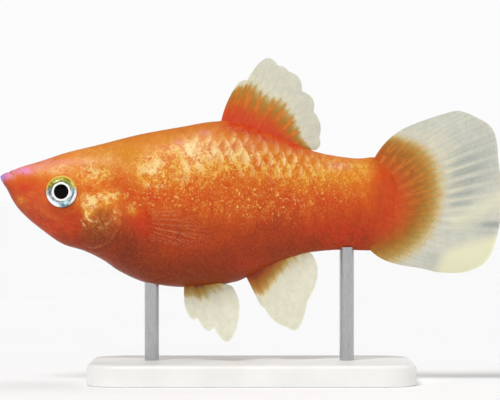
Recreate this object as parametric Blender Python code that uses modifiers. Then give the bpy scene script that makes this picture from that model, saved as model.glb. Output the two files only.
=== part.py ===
"""A southern platyfish (Xiphophorus maculatus), an adult female of the red form with pale fin edges.

A still, life-size display model: the fish swims level, head towards -X, above a flat base on two rods.
Sizes are in millimetres in the fish's own frame and are scaled to metres as the meshes are made.
In that frame x runs back from the tip of the lower jaw, z is the height above that tip, and y is the
distance from the middle plane, with the fish's left side at -y.
"""

import math

import bmesh
import bpy
import numpy as np
from mathutils import Matrix, Vector

MM = 0.001

# Driving sizes
TOTAL_LENGTH = 56.0
FLESH_LENGTH = 44.9
GAP = 0.3

# The stand, and how high it holds the fish
BASE_LENGTH = 36.0
BASE_DEPTH = 20.0
BASE_THICKNESS = 2.4
BASE_CORNER = 4.0
BASE_EDGE = 0.5
ROD_RADIUS = 0.8
ROD_OVERLAP = 2.0
ROD_PLACES = (("front", 16.9), ("rear", 38.6))
FIN_CLEARANCE = 2.0
LOWEST_FIN_TIP = -18.4
JAW_HEIGHT = BASE_THICKNESS + FIN_CLEARANCE - LOWEST_FIN_TIP

# The body's outline in side view: (x, z) along the back and along the throat and belly
BACK_LINE = (
    (0.0, 0.0), (0.15, 0.22), (0.5, 0.42), (1.1, 0.66), (2.2, 1.1), (4.5, 1.8), (7.5, 2.78),
    (11.1, 3.67), (15.6, 4.8), (20.0, 5.6), (24.4, 6.25), (26.7, 5.9), (30.0, 4.8), (33.4, 3.45),
    (36.5, 2.55), (40.1, 2.12), (41.4, 2.25), (43.0, 1.55), (44.2, -0.3), (44.9, -3.0),
)
BELLY_LINE = (
    (0.0, 0.0), (0.15, -0.42), (0.78, -1.45), (1.34, -2.56), (2.12, -3.67), (4.7, -5.95), (7.2, -7.6),
    (9.2, -8.2), (11.4, -9.25), (13.4, -10.6), (16.7, -11.9), (20.6, -12.3), (25.0, -11.95),
    (27.3, -11.25), (31.2, -9.4), (35.1, -8.35), (38.0, -8.15), (41.2, -8.22), (43.0, -7.6),
    (44.2, -5.9), (44.9, -3.0),
)
# Half of the body's width, and the height at which it is widest, along x
HALF_WIDTH = (
    (0.0, 0.0), (0.15, 0.42), (0.5, 0.78), (1.1, 1.15), (2.2, 1.6), (4.5, 2.3), (6.9, 2.85), (9.0, 3.3),
    (11.1, 3.65), (13.4, 4.05), (16.0, 4.5), (19.0, 4.85), (22.0, 4.85), (24.7, 4.5), (27.3, 3.85),
    (31.2, 2.85), (35.0, 2.2), (38.0, 1.85), (41.0, 1.45), (43.0, 1.0), (44.2, 0.6), (44.9, 0.0),
)
WIDEST_HEIGHT = (
    (0.0, 0.0), (1.1, -0.2), (4.5, -1.3), (6.9, -1.7), (11.1, -2.8), (16.0, -4.6), (21.0, -5.6),
    (27.3, -3.9), (35.0, -2.9), (44.9, -3.0),
)
# Squareness of the section above and below its widest height: 2 is an ellipse, more is boxier
ROOF_SHAPE = ((0.0, 2.2), (2.2, 2.7), (6.9, 2.6), (11.1, 2.2), (20.0, 1.8), (30.0, 1.8), (44.9, 2.0))
KEEL_SHAPE = ((0.0, 2.0), (4.5, 1.8), (9.0, 1.8), (16.0, 2.1), (22.0, 2.1), (30.0, 1.8), (44.9, 2.0))

# How finely the body is divided
BODY_RINGS = 48
BODY_SIDES = 40
SNOUT_DENSITY = 1.25
END_DENSITY = 0.45
SMOOTH_ANGLE = math.radians(40)
WELD_DISTANCE = 0.004

# Where the whole body is parted: (x at the back, x at the belly) of each thin cut
HEAD_CUT = (13.4, 11.5)
TAIL_CUT = (35.9, 36.1)
CUT_TOP = 10.0
CUT_BOTTOM = -16.0
CUT_SIDE = 9.0
CUT_PAST_END = 5.0

# Head
EYE_CENTRE = (6.95, -1.7)
EYE_RADIUS = 2.0
EYE_DEPTH = 1.0
EYE_PROUD = 0.5
EYE_TURN = 0.5
EYE_RIM_RADIUS = 2.32
EYE_RIM_THICKNESS = 0.28
EYE_RIM_SUNK = 0.2
GILL_CENTRE = (10.9, -4.2)
GILL_FRONT = 1.95
GILL_REAR = 2.95
GILL_UP = 2.7
GILL_DOWN = 3.75
GILL_TILT = math.radians(16)
GILL_THICKNESS = 0.8
GILL_BAR_REACH = 6.0
GILL_BAR_START = 0.9
MOUTH_TOP = (1.12, 1.2)
MOUTH_CORNER = (1.72, -0.42)
MOUTH_WIDTH_RADIUS = 1.35
MOUTH_BREADTH = 1.25
MOUTH_SPREAD = math.radians(140)
MOUTH_SLIT = 0.22
LIP_RADIUS = 0.2
LIP_END = 0.07
LIP_TOP = 0.46
LIP_CORNER_RISE = 0.12
LIP_INSIDE = 0.08
LIP_THINNING = 0.45
NOSTRILS = ((2.7, 0.35, 0.17), (4.1, 0.3, 0.2))
NOSTRIL_DEPTH = 0.45

# Fins
MEMBRANE = 0.5
RAY_THICKNESS = 0.82
EDGE_THICKNESS = 0.28
RAY_SHARE = 0.2
THINNING_START = 0.72

RED_ORANGE = (0.72, 0.16, 0.035, 1.0)
PALE_FIN = (0.80, 0.78, 0.66, 1.0)
SILVER = (0.62, 0.68, 0.62, 1.0)
WHITE_BASE = (0.86, 0.86, 0.84, 1.0)
STEEL = (0.62, 0.62, 0.63, 1.0)


def clear_scene():
    for obj in list(bpy.data.objects):
        bpy.data.objects.remove(obj, do_unlink=True)


def new_collection(name):
    collection = bpy.data.collections.new(name)
    bpy.context.scene.collection.children.link(collection)
    return collection


def material(name, colour, roughness, metallic=0.0):
    made = bpy.data.materials.new(name)
    made.use_nodes = True
    shader = made.node_tree.nodes["Principled BSDF"]
    shader.inputs["Base Color"].default_value = colour
    shader.inputs["Roughness"].default_value = roughness
    shader.inputs["Metallic"].default_value = metallic
    made.diffuse_color = colour
    return made


def value_along(points, x):
    """A smooth curve through (x, value) points that never swings past them."""
    xs = np.array([p[0] for p in points])
    ys = np.array([p[1] for p in points])
    steps = np.diff(xs)
    slopes = np.diff(ys) / steps
    tangents = np.zeros(len(xs))
    tangents[0], tangents[-1] = slopes[0], slopes[-1]
    for i in range(1, len(xs) - 1):
        if slopes[i - 1] * slopes[i] > 0:
            before = 2 * steps[i] + steps[i - 1]
            after = steps[i] + 2 * steps[i - 1]
            tangents[i] = (before + after) / (before / slopes[i - 1] + after / slopes[i])
    x = min(max(x, xs[0]), xs[-1])
    i = min(int(np.searchsorted(xs, x, side="right")) - 1, len(xs) - 2)
    t = (x - xs[i]) / steps[i]
    rise = t * t * (3 - 2 * t)
    lead = t * (1 - t) ** 2 * steps[i]
    tail = t * t * (t - 1) * steps[i]
    return ys[i] + rise * (ys[i + 1] - ys[i]) + lead * tangents[i] + tail * tangents[i + 1]


def smooth_step(t):
    t = min(max(t, 0.0), 1.0)
    return t * t * (3 - 2 * t)


def signed_power(value, power):
    return math.copysign(abs(value) ** power, value)


def body_point(x, angle, inset=0.0):
    """The skin at x, angle radians round from the widest line of the right side towards the back."""
    widest = value_along(WIDEST_HEIGHT, x)
    top = max(value_along(BACK_LINE, x) - widest - inset, 0.0)
    bottom = max(widest - value_along(BELLY_LINE, x) - inset, 0.0)
    width = max(value_along(HALF_WIDTH, x) - inset, 0.0)
    above = math.sin(angle) >= 0
    shape = 2 / value_along(ROOF_SHAPE if above else KEEL_SHAPE, x)
    y = width * signed_power(math.cos(angle), shape)
    z = widest + (top if above else bottom) * signed_power(math.sin(angle), shape)
    return Vector((x, y, z))


def flank_y(x, z):
    """How far the skin is from the middle plane at this place in side view."""
    widest = value_along(WIDEST_HEIGHT, x)
    above = z >= widest
    limit = value_along(BACK_LINE if above else BELLY_LINE, x)
    shape = value_along(ROOF_SHAPE if above else KEEL_SHAPE, x)
    share = min(abs((z - widest) / (limit - widest)), 1.0)
    return value_along(HALF_WIDTH, x) * (1 - share**shape) ** (1 / shape)


def flank_normal(x, z, side):
    """The skin's outward direction there; side is -1 for the fish's left and 1 for its right."""
    step = 0.3
    along = Vector((2 * step, side * (flank_y(x + step, z) - flank_y(x - step, z)), 0))
    up = Vector((0, side * (flank_y(x, z + step) - flank_y(x, z - step)), 2 * step))
    normal = along.cross(up)
    if normal.y * side < 0:
        normal.negate()
    return normal.normalized()


def to_world(point):
    return Vector((point[0] - TOTAL_LENGTH / 2, point[1], point[2] + JAW_HEIGHT)) * MM


def face_outwards(bm):
    bmesh.ops.recalc_face_normals(bm, faces=bm.faces)
    if bm.calc_volume(signed=True) < 0:
        bmesh.ops.reverse_faces(bm, faces=bm.faces)


def object_from(bm, name, collection, place=True):
    """A mesh object from bm, whose points are in the fish's frame unless place is False."""
    if place:
        for vertex in bm.verts:
            vertex.co = to_world(vertex.co)
    face_outwards(bm)
    mesh = bpy.data.meshes.new(name)
    bm.to_mesh(mesh)
    bm.free()
    mesh.shade_smooth()
    mesh.set_sharp_from_angle(angle=SMOOTH_ANGLE)
    obj = bpy.data.objects.new(name, mesh)
    collection.objects.link(obj)
    return obj


def body_solid(name, collection, inset=0.0, grow=0.0):
    """The whole fleshy body, its skin moved in by inset or out by grow."""
    bm = bmesh.new()
    bmesh.ops.create_uvsphere(bm, u_segments=BODY_SIDES, v_segments=BODY_RINGS, radius=1)
    for vertex in bm.verts:
        share = 1 - math.acos(max(-1.0, min(1.0, vertex.co.z))) / math.pi
        share = share**SNOUT_DENSITY
        eased = (1 - math.cos(math.pi * share)) / 2
        x = FLESH_LENGTH * ((1 - END_DENSITY) * share + END_DENSITY * eased)
        angle = math.atan2(vertex.co.y, vertex.co.x)
        vertex.co = body_point(x, angle, inset)
    if inset:
        bmesh.ops.remove_doubles(bm, verts=bm.verts, dist=WELD_DISTANCE)
    face_outwards(bm)
    if grow:
        bm.normal_update()
        for vertex, normal in [(v, v.normal.copy()) for v in bm.verts]:
            vertex.co += normal * grow
    return object_from(bm, name, collection)


def combine(obj, operation, others, solver="EXACT"):
    """Cuts or joins obj with the other objects, in code, and removes them."""
    pieces = bpy.data.collections.new("pieces")
    bpy.context.scene.collection.children.link(pieces)
    for other in others:
        for owner in list(other.users_collection):
            owner.objects.unlink(other)
        pieces.objects.link(other)
    change = obj.modifiers.new("combine", "BOOLEAN")
    change.operation = operation
    change.solver = solver
    change.operand_type = "COLLECTION"
    change.collection = pieces
    depsgraph = bpy.context.evaluated_depsgraph_get()
    made = bpy.data.meshes.new_from_object(obj.evaluated_get(depsgraph))
    obj.modifiers.clear()
    obj.data = made
    for other in others:
        bpy.data.objects.remove(other, do_unlink=True)
    bpy.data.collections.remove(pieces)
    keep_largest(obj)
    return obj


def bake(obj):
    """Applies obj's modifiers, with every face turned outwards."""
    depsgraph = bpy.context.evaluated_depsgraph_get()
    made = bpy.data.meshes.new_from_object(obj.evaluated_get(depsgraph))
    obj.modifiers.clear()
    obj.data = made
    bm = bmesh.new()
    bm.from_mesh(made)
    face_outwards(bm)
    bm.to_mesh(made)
    bm.free()


def keep_largest(obj):
    """Drops every closed surface of obj but the largest one."""
    bm = bmesh.new()
    bm.from_mesh(obj.data)
    bmesh.ops.remove_doubles(bm, verts=bm.verts, dist=WELD_DISTANCE * MM)
    bmesh.ops.triangulate(bm, faces=bm.faces)
    unseen = set(bm.verts)
    groups = []
    while unseen:
        front = [unseen.pop()]
        group = set(front)
        while front:
            for edge in front.pop().link_edges:
                for vertex in edge.verts:
                    if vertex in unseen:
                        unseen.remove(vertex)
                        group.add(vertex)
                        front.append(vertex)
        groups.append(group)
    groups.sort(key=size_of, reverse=True)
    loose = [vertex for group in groups[1:] for vertex in group]
    bmesh.ops.delete(bm, geom=loose, context="VERTS")
    bm.to_mesh(obj.data)
    bm.free()
    obj.data.shade_smooth()
    obj.data.set_sharp_from_angle(angle=SMOOTH_ANGLE)


def size_of(vertices):
    corners = np.array([v.co for v in vertices])
    return float(np.prod(corners.max(0) - corners.min(0) + 1e-6))


def region_block(name, front_cut, rear_cut, collection):
    """A block between two slanted cuts, half a gap short of each; None leaves that end open."""
    bm = bmesh.new()
    bmesh.ops.create_cube(bm, size=2)
    for vertex in bm.verts:
        rear = vertex.co.x > 0
        above = vertex.co.z > 0
        cut = rear_cut if rear else front_cut
        if cut is None:
            x = FLESH_LENGTH + CUT_PAST_END if rear else -CUT_PAST_END
        else:
            x = (cut[0] if above else cut[1]) + (-GAP / 2 if rear else GAP / 2)
        vertex.co = Vector((x, CUT_SIDE * vertex.co.y, CUT_TOP if above else CUT_BOTTOM))
    return object_from(bm, name, collection)


def ellipsoid(name, centre, radii, facing, collection, segments=24, rings=14):
    """An ellipsoid whose third radius points along facing."""
    bm = bmesh.new()
    bmesh.ops.create_uvsphere(bm, u_segments=segments, v_segments=rings, radius=1)
    turn = facing.to_track_quat("Z", "X").to_matrix()
    for vertex in bm.verts:
        scaled = Vector((vertex.co.x * radii[0], vertex.co.y * radii[1], vertex.co.z * radii[2]))
        vertex.co = turn @ scaled + centre
    return object_from(bm, name, collection)


def eye_place(side):
    """The middle of an eyeball, and the way it faces."""
    x, z = EYE_CENTRE
    facing = flank_normal(x, z, side).lerp(Vector((0, side, 0)), EYE_TURN).normalized()
    surface = Vector((x, side * flank_y(x, z), z))
    return surface + facing * (EYE_PROUD - EYE_DEPTH), facing


def eye(name, side, extra, collection):
    centre, facing = eye_place(side)
    radii = (EYE_RADIUS + extra, EYE_RADIUS + extra, EYE_DEPTH + extra)
    return ellipsoid(name, centre, radii, facing, collection)


def eye_rim(side, collection):
    """A low ring of skin round the socket, sunk into the head."""
    facing = eye_place(side)[1]
    bpy.ops.mesh.primitive_torus_add(
        major_segments=32, minor_segments=8,
        major_radius=EYE_RIM_RADIUS, minor_radius=EYE_RIM_THICKNESS,
    )
    made = bpy.context.active_object
    x, z = EYE_CENTRE
    middle = Vector((x, side * flank_y(x, z), z)) - facing * EYE_RIM_SUNK
    bm = bmesh.new()
    bm.from_mesh(made.data)
    turn = facing.to_track_quat("Z", "X").to_matrix()
    for vertex in bm.verts:
        vertex.co = turn @ vertex.co + middle
    bpy.data.objects.remove(made, do_unlink=True)
    return object_from(bm, "eye_rim", collection)


def gill_prism(name, side, extra, collection):
    """A bar through one side of the head, in the gill cover's egg-shaped outline widened by extra."""
    bm = bmesh.new()
    bmesh.ops.create_cone(
        bm, cap_ends=True, segments=36, radius1=1, radius2=1, depth=2,
        matrix=Matrix.Rotation(math.radians(90), 4, "X"),
    )
    tilt = Matrix.Rotation(GILL_TILT, 3, "Y")
    for vertex in bm.verts:
        length = GILL_REAR if vertex.co.x > 0 else GILL_FRONT
        height = GILL_UP if vertex.co.z > 0 else GILL_DOWN
        flat = tilt @ Vector((vertex.co.x * (length + extra), 0, vertex.co.z * (height + extra)))
        reach = GILL_BAR_REACH if vertex.co.y * side > 0 else GILL_BAR_START
        vertex.co = Vector((GILL_CENTRE[0] + flat.x, side * reach, GILL_CENTRE[1] + flat.z))
    return object_from(bm, name, collection)


def mouth_line(share, height):
    """A point of the curved gape: share runs from the left corner to the right one, height from 0 to 1."""
    x = MOUTH_CORNER[0] + height * (MOUTH_TOP[0] - MOUTH_CORNER[0])
    z = MOUTH_CORNER[1] + height * (MOUTH_TOP[1] - MOUTH_CORNER[1])
    angle = (share - 0.5) * MOUTH_SPREAD
    back = MOUTH_WIDTH_RADIUS * (1 - math.cos(angle))
    return Vector((x + back, MOUTH_WIDTH_RADIUS * MOUTH_BREADTH * math.sin(angle), z))


def mouth_slit(collection):
    """A thin bent plate that opens the gape from above."""
    bm = bmesh.new()
    bmesh.ops.create_grid(bm, x_segments=14, y_segments=4, size=0.5)
    for vertex in bm.verts:
        vertex.co = mouth_line(vertex.co.x + 0.5, vertex.co.y + 0.5)
    plate = object_from(bm, "mouth_slit", collection)
    thicken = plate.modifiers.new("thicken", "SOLIDIFY")
    thicken.thickness = MOUTH_SLIT * MM
    thicken.offset = 0
    return plate


def lip(name, forward, collection):
    """A soft roll along one side of the gape: forward 1 is the lower jaw's, -1 the upper jaw's."""
    count = 15
    curve = bpy.data.curves.new(name, "CURVE")
    curve.dimensions = "3D"
    curve.bevel_depth = LIP_RADIUS * MM
    curve.bevel_resolution = 2
    curve.use_fill_caps = True
    spline = curve.splines.new("POLY")
    spline.points.add(count - 1)
    for i in range(count):
        share = LIP_END + (1 - 2 * LIP_END) * i / (count - 1)
        line = mouth_line(share, 0.0)
        x = line.x - forward * (LIP_RADIUS + MOUTH_SLIT / 2)
        z = min(value_along(BACK_LINE, x) - LIP_RADIUS, LIP_TOP)
        edge = abs(2 * share - 1)
        z += edge**2.2 * (MOUTH_CORNER[1] + LIP_CORNER_RISE - z)
        width = flank_y(x, z)
        y = math.copysign(min(abs(line.y), max(width - LIP_INSIDE, 0.0)), line.y)
        spline.points[i].co = (*to_world((x, y, z)), 1)
        spline.points[i].radius = 1 - LIP_THINNING * edge**2
    made = bpy.data.objects.new(name, curve)
    collection.objects.link(made)
    depsgraph = bpy.context.evaluated_depsgraph_get()
    mesh = bpy.data.meshes.new_from_object(made.evaluated_get(depsgraph))
    bpy.data.objects.remove(made, do_unlink=True)
    bm = bmesh.new()
    bm.from_mesh(mesh)
    bmesh.ops.remove_doubles(bm, verts=bm.verts, dist=WELD_DISTANCE * MM)
    return object_from(bm, name, collection, place=False)


def nostril(x, z, radius, side, collection):
    """A short pin that cuts one nostril."""
    facing = flank_normal(x, z, side)
    centre = Vector((x, side * flank_y(x, z), z))
    turn = facing.to_track_quat("Z", "X").to_matrix().to_4x4()
    bm = bmesh.new()
    bmesh.ops.create_cone(
        bm, cap_ends=True, segments=12, radius1=radius, radius2=radius,
        depth=2 * NOSTRIL_DEPTH, matrix=Matrix.Translation(centre) @ turn,
    )
    return object_from(bm, "nostril", collection)


def make_head(collection, tools):
    head = body_solid("head", collection)
    combine(head, "UNION", [eye_rim(side, tools) for side in (-1, 1)] + [
        lip("lower_lip", 1, tools), lip("upper_lip", -1, tools)
    ])
    combine(head, "INTERSECT", [region_block("head_region", None, HEAD_CUT, tools)])
    cutters = [eye("socket", side, GAP, tools) for side in (-1, 1)]
    cutters += [
        nostril(x, z, radius, side, tools) for x, z, radius in NOSTRILS for side in (-1, 1)
    ]
    cutters += [gill_recess(side, tools) for side in (-1, 1)]
    cutters.append(mouth_slit(tools))
    for cutter in cutters:
        combine(head, "DIFFERENCE", [cutter])
    return head


def gill_recess(side, tools):
    """What is cut away under and round a gill cover."""
    recess = gill_prism("recess", side, GAP, tools)
    return combine(recess, "DIFFERENCE", [body_solid("under", tools, inset=GILL_THICKNESS + GAP)])


def gill_cover(name, side, collection, tools):
    """The bony flap over the gills, a curved plate with its edge free behind."""
    plate = body_solid(name, collection)
    combine(plate, "INTERSECT", [gill_prism("outline", side, 0.0, tools)])
    combine(plate, "DIFFERENCE", [body_solid("under", tools, inset=GILL_THICKNESS)])
    return plate


def make_trunk(collection, tools):
    trunk = body_solid("trunk", collection)
    combine(trunk, "INTERSECT", [region_block("trunk_region", HEAD_CUT, TAIL_CUT, tools)])
    for side in (-1, 1):
        combine(trunk, "DIFFERENCE", [gill_recess(side, tools)])
    return trunk


def make_tail(collection, tools):
    tail = body_solid("tail_stalk", collection)
    return combine(tail, "INTERSECT", [region_block("tail_region", TAIL_CUT, None, tools)])


def path_at(points, share):
    """A smooth curve through points in side view, share 0 to 1 of its length."""
    pts = np.array(points, float)
    lengths = np.concatenate([[0], np.cumsum(np.linalg.norm(np.diff(pts, axis=0), axis=1))])
    at = share * lengths[-1]
    i = min(max(int(np.searchsorted(lengths, at, side="right")) - 1, 0), len(pts) - 2)
    span = lengths[i + 1] - lengths[i]
    t = (at - lengths[i]) / span
    last = len(pts) - 1
    lead = (pts[i + 1] - pts[max(i - 1, 0)]) / (lengths[i + 1] - lengths[max(i - 1, 0)]) * span
    tail = (pts[min(i + 2, last)] - pts[i]) / (lengths[min(i + 2, last)] - lengths[i]) * span
    rise = t * t * (3 - 2 * t)
    return pts[i] + rise * (pts[i + 1] - pts[i]) + t * (1 - t) ** 2 * lead + t * t * (t - 1) * tail


def lobed_path_at(points, share):
    """A scalloped edge: points are a notch, a crest, a notch and so on; each crest is a round lobe."""
    pts = np.array(points, float)
    notches = pts[::2]
    lengths = np.concatenate([[0], np.cumsum(np.linalg.norm(np.diff(notches, axis=0), axis=1))])
    at = share * lengths[-1]
    i = min(max(int(np.searchsorted(lengths, at, side="right")) - 1, 0), len(notches) - 2)
    t = (at - lengths[i]) / (lengths[i + 1] - lengths[i])
    start, crest, end = pts[2 * i], pts[2 * i + 1], pts[2 * i + 2]
    pull = 2 * crest - (start + end) / 2
    return start * (1 - t) ** 2 + 2 * pull * t * (1 - t) + end * t * t


# Each fin in side view: its root just inside the body, its outer edge, and how far its first and last
# rays bow sideways at the most. An edge is a smooth curve, or lobes given as notch, crest, notch and
# so on.
DORSAL = {
    "root": ((24.5, 5.5), (28.9, 4.3), (32.9, 2.9)),
    "edge": (
        (26.05, 9.75), (26.7, 10.6), (27.55, 10.8), (29.45, 13.15), (30.95, 12.4), (31.65, 12.25),
        (32.1, 11.75), (33.3, 11.0), (33.6, 9.55), (34.8, 8.7), (34.9, 7.3), (35.65, 5.95),
        (35.55, 4.4), (35.65, 3.55), (35.1, 3.0),
    ),
    "lobed": True,
    "bow": (0.25, -0.1),
    "rays": 10,
    "rows": 8,
}
ANAL = {
    "root": ((26.95, -10.2), (31.0, -8.6), (33.9, -7.6)),
    "edge": (
        (28.95, -14.15), (29.2, -14.45), (29.45, -14.55), (30.55, -16.0), (31.95, -16.7),
        (32.9, -17.05), (33.55, -16.3), (34.0, -15.0), (34.25, -13.8), (35.35, -11.0), (34.8, -8.7),
    ),
    "lobed": True,
    "bow": (0.0, 0.1),
    "rays": 9,
    "rows": 8,
}
PELVIC = {
    "root": ((20.6, -11.4), (22.1, -11.5), (23.7, -11.2)),
    "edge": (
        (20.6, -14.3), (21.3, -15.65), (21.95, -15.55), (23.05, -16.95), (23.85, -16.6),
        (25.35, -18.2), (26.45, -16.3), (26.6, -14.1), (25.85, -12.2),
    ),
    "lobed": True,
    "bow": (-0.1, 0.15),
    "rays": 7,
    "rows": 7,
}
CAUDAL = {
    "root": ((41.1, 0.9), (42.6, -0.4), (43.3, -3.0), (42.6, -5.8), (40.95, -7.85)),
    "edge": (
        (47.5, 6.3), (49.3, 7.0), (51.2, 7.38), (53.2, 6.6), (54.6, 5.7), (55.25, 4.3), (55.5, 1.5),
        (56.0, -2.0), (55.6, -5.2), (55.1, -7.4), (54.3, -9.2), (53.0, -10.2), (51.0, -10.7),
        (48.5, -10.6),
    ),
    "lobed": False,
    "bow": (1.12, 0.7),
    "rays": 15,
    "rows": 10,
}
PECTORAL = {
    "root": ((15.9, -3.9), (15.8, -5.1), (16.0, -6.3)),
    "edge": (
        (19.4, -3.4), (21.4, -4.1), (23.0, -5.2), (23.7, -6.5), (22.9, -7.5), (21.1, -7.9),
        (19.1, -7.5),
    ),
    "lobed": False,
    "bow": (0.2, 0.2),
    "rays": 10,
    "rows": 7,
}

DORSAL_WAVE = 0.25
ANAL_WAVE = -0.25
CAUDAL_WAVE = 0.55
WAVE_TURNS = 2.4 * math.pi
WAVE_LAG = 0.6
PELVIC_ROOT_Y = 1.0
PELVIC_SPLAY = math.tan(math.radians(14))
PECTORAL_SINK = 0.55
PECTORAL_STALK = 1.35
PECTORAL_STALK_SHARE = 0.3
PECTORAL_SPLAY = math.tan(math.radians(15))
# Make v(1 - v) reach 1 at its highest, half way out, and v(1 - v)^2 a third of the way out
FIRST_BOW_SHAPE = 4.0
LAST_BOW_SHAPE = 6.75


def fin_point(fin, u, v):
    """A fin's middle surface in side view: u from its first ray to its last, v from root to edge."""
    root = path_at(fin["root"], u)
    edge = (lobed_path_at if fin["lobed"] else path_at)(fin["edge"], u)
    along = edge - root
    outward = np.array([-along[1], along[0]]) / np.linalg.norm(along)
    first, last = fin["bow"]
    leading = FIRST_BOW_SHAPE * first * max(1 - 2 * u, 0) * v * (1 - v)
    trailing = LAST_BOW_SHAPE * last * max(2 * u - 1, 0) * v * (1 - v) ** 2
    return root + v * along + (leading - trailing) * outward


def median_wave(height):
    """A soft sideways wave across an upright fin that grows towards its edge."""
    return lambda u, v, x, z: height * v * math.sin(WAVE_TURNS * u + WAVE_LAG * v)


def pelvic_lift(side):
    def lift(u, v, x, z):
        drop = value_along(BELLY_LINE, x) - z
        return side * (PELVIC_ROOT_Y + PELVIC_SPLAY * max(drop, 0.0))
    return lift


def pectoral_lift(side):
    def lift(u, v, x, z):
        root = path_at(PECTORAL["root"], u)
        start = flank_y(root[0], root[1]) - PECTORAL_SINK
        out = PECTORAL_STALK * smooth_step(v / PECTORAL_STALK_SHARE) + PECTORAL_SPLAY * (x - root[0])
        return side * (start + out)
    return lift


def fin_columns(rays):
    """Places across a fin, in ray spacings: on each ray, and close on both sides of it."""
    places = []
    for i in range(rays):
        places += [i - RAY_SHARE] * (i > 0) + [i] + [i + RAY_SHARE] * (i < rays - 1)
    return places


def make_fin(name, fin, lift, collection, tools):
    """A membrane with its rays as ridges on both faces, its root cut to the body's shape."""
    places = fin_columns(fin["rays"])
    rows = fin["rows"]
    bm = bmesh.new()
    bmesh.ops.create_grid(bm, x_segments=len(places) - 1, y_segments=rows, size=0.5)
    weights = []
    bm.verts.ensure_lookup_table()
    for vertex in bm.verts:
        column = round((vertex.co.x + 0.5) * (len(places) - 1))
        u = places[column] / (fin["rays"] - 1)
        v = vertex.co.y + 0.5
        x, z = fin_point(fin, u, v)
        vertex.co = Vector((x, lift(u, v, x, z), z))
        on_ray = abs(places[column] - round(places[column])) < 0.01
        thickness = RAY_THICKNESS if on_ray else MEMBRANE
        thinned = smooth_step((v - THINNING_START) / (1 - THINNING_START))
        weights.append((thickness + thinned * (EDGE_THICKNESS - thickness)) / RAY_THICKNESS)
    bmesh.ops.triangulate(bm, faces=bm.faces)
    sheet = object_from(bm, name, collection)
    group = sheet.vertex_groups.new(name="thickness")
    for index, weight in enumerate(weights):
        group.add([index], weight, "REPLACE")
    thicken = sheet.modifiers.new("thicken", "SOLIDIFY")
    thicken.thickness = RAY_THICKNESS * MM
    thicken.offset = 0
    thicken.vertex_group = "thickness"
    bake(sheet)
    return combine(sheet, "DIFFERENCE", [body_solid("clearance", tools, grow=GAP)], "MANIFOLD")


def stand_base(collection):
    """A flat plate with round corners and a softened edge."""
    bm = bmesh.new()
    bmesh.ops.create_cube(bm, size=1)
    for vertex in bm.verts:
        vertex.co = Vector((
            vertex.co.x * BASE_LENGTH, vertex.co.y * BASE_DEPTH, (vertex.co.z + 0.5) * BASE_THICKNESS
        )) * MM
    upright = [e for e in bm.edges if abs(e.verts[0].co.z - e.verts[1].co.z) > 0.1 * MM]
    bmesh.ops.bevel(bm, geom=upright, offset=BASE_CORNER * MM, segments=5, profile=0.5, affect="EDGES")
    top = [e for e in bm.edges if min(v.co.z for v in e.verts) > (BASE_THICKNESS - 0.01) * MM]
    bmesh.ops.bevel(bm, geom=top, offset=BASE_EDGE * MM, segments=2, profile=0.5, affect="EDGES")
    return object_from(bm, "stand_base", collection, place=False)


def stand_rod(name, x, collection, tools):
    """A round rod from just above the base up to the belly, its top cut to the body's shape."""
    bottom = BASE_THICKNESS + GAP - JAW_HEIGHT
    top = value_along(BELLY_LINE, x) + ROD_OVERLAP
    bm = bmesh.new()
    bmesh.ops.create_cone(
        bm, cap_ends=True, segments=20, radius1=ROD_RADIUS, radius2=ROD_RADIUS, depth=top - bottom,
        matrix=Matrix.Translation((x, 0, (top + bottom) / 2)),
    )
    rod = object_from(bm, name, collection)
    return combine(rod, "DIFFERENCE", [body_solid("clearance", tools, grow=GAP)], "MANIFOLD")


def build():
    clear_scene()
    model = new_collection("southern_platyfish")
    tools = new_collection("tools")
    flesh = material("flesh", RED_ORANGE, 0.35)
    fin = material("fin", PALE_FIN, 0.4)
    iris = material("eye", SILVER, 0.1, 0.3)
    base = material("stand_plate", WHITE_BASE, 0.45)
    steel = material("stand_steel", STEEL, 0.3, 1.0)

    for made in (make_head(model, tools), make_trunk(model, tools), make_tail(model, tools)):
        made.data.materials.append(flesh)
    for side, word in ((-1, "left"), (1, "right")):
        gill_cover(f"gill_cover_{word}", side, model, tools).data.materials.append(flesh)
        eye(f"eye_{word}", side, 0.0, model).data.materials.append(iris)
        for name, shape, lift in (
            ("pectoral_fin", PECTORAL, pectoral_lift(side)),
            ("pelvic_fin", PELVIC, pelvic_lift(side)),
        ):
            made = make_fin(f"{name}_{word}", shape, lift, model, tools)
            made.data.materials.append(fin)
    for name, shape, wave in (
        ("dorsal_fin", DORSAL, DORSAL_WAVE),
        ("anal_fin", ANAL, ANAL_WAVE),
        ("caudal_fin", CAUDAL, CAUDAL_WAVE),
    ):
        make_fin(name, shape, median_wave(wave), model, tools).data.materials.append(fin)
    stand_base(model).data.materials.append(base)
    for word, x in ROD_PLACES:
        stand_rod(f"stand_rod_{word}", x, model, tools).data.materials.append(steel)
    bpy.context.scene.collection.children.unlink(tools)
    bpy.data.collections.remove(tools)


build()
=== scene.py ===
import math

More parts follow.
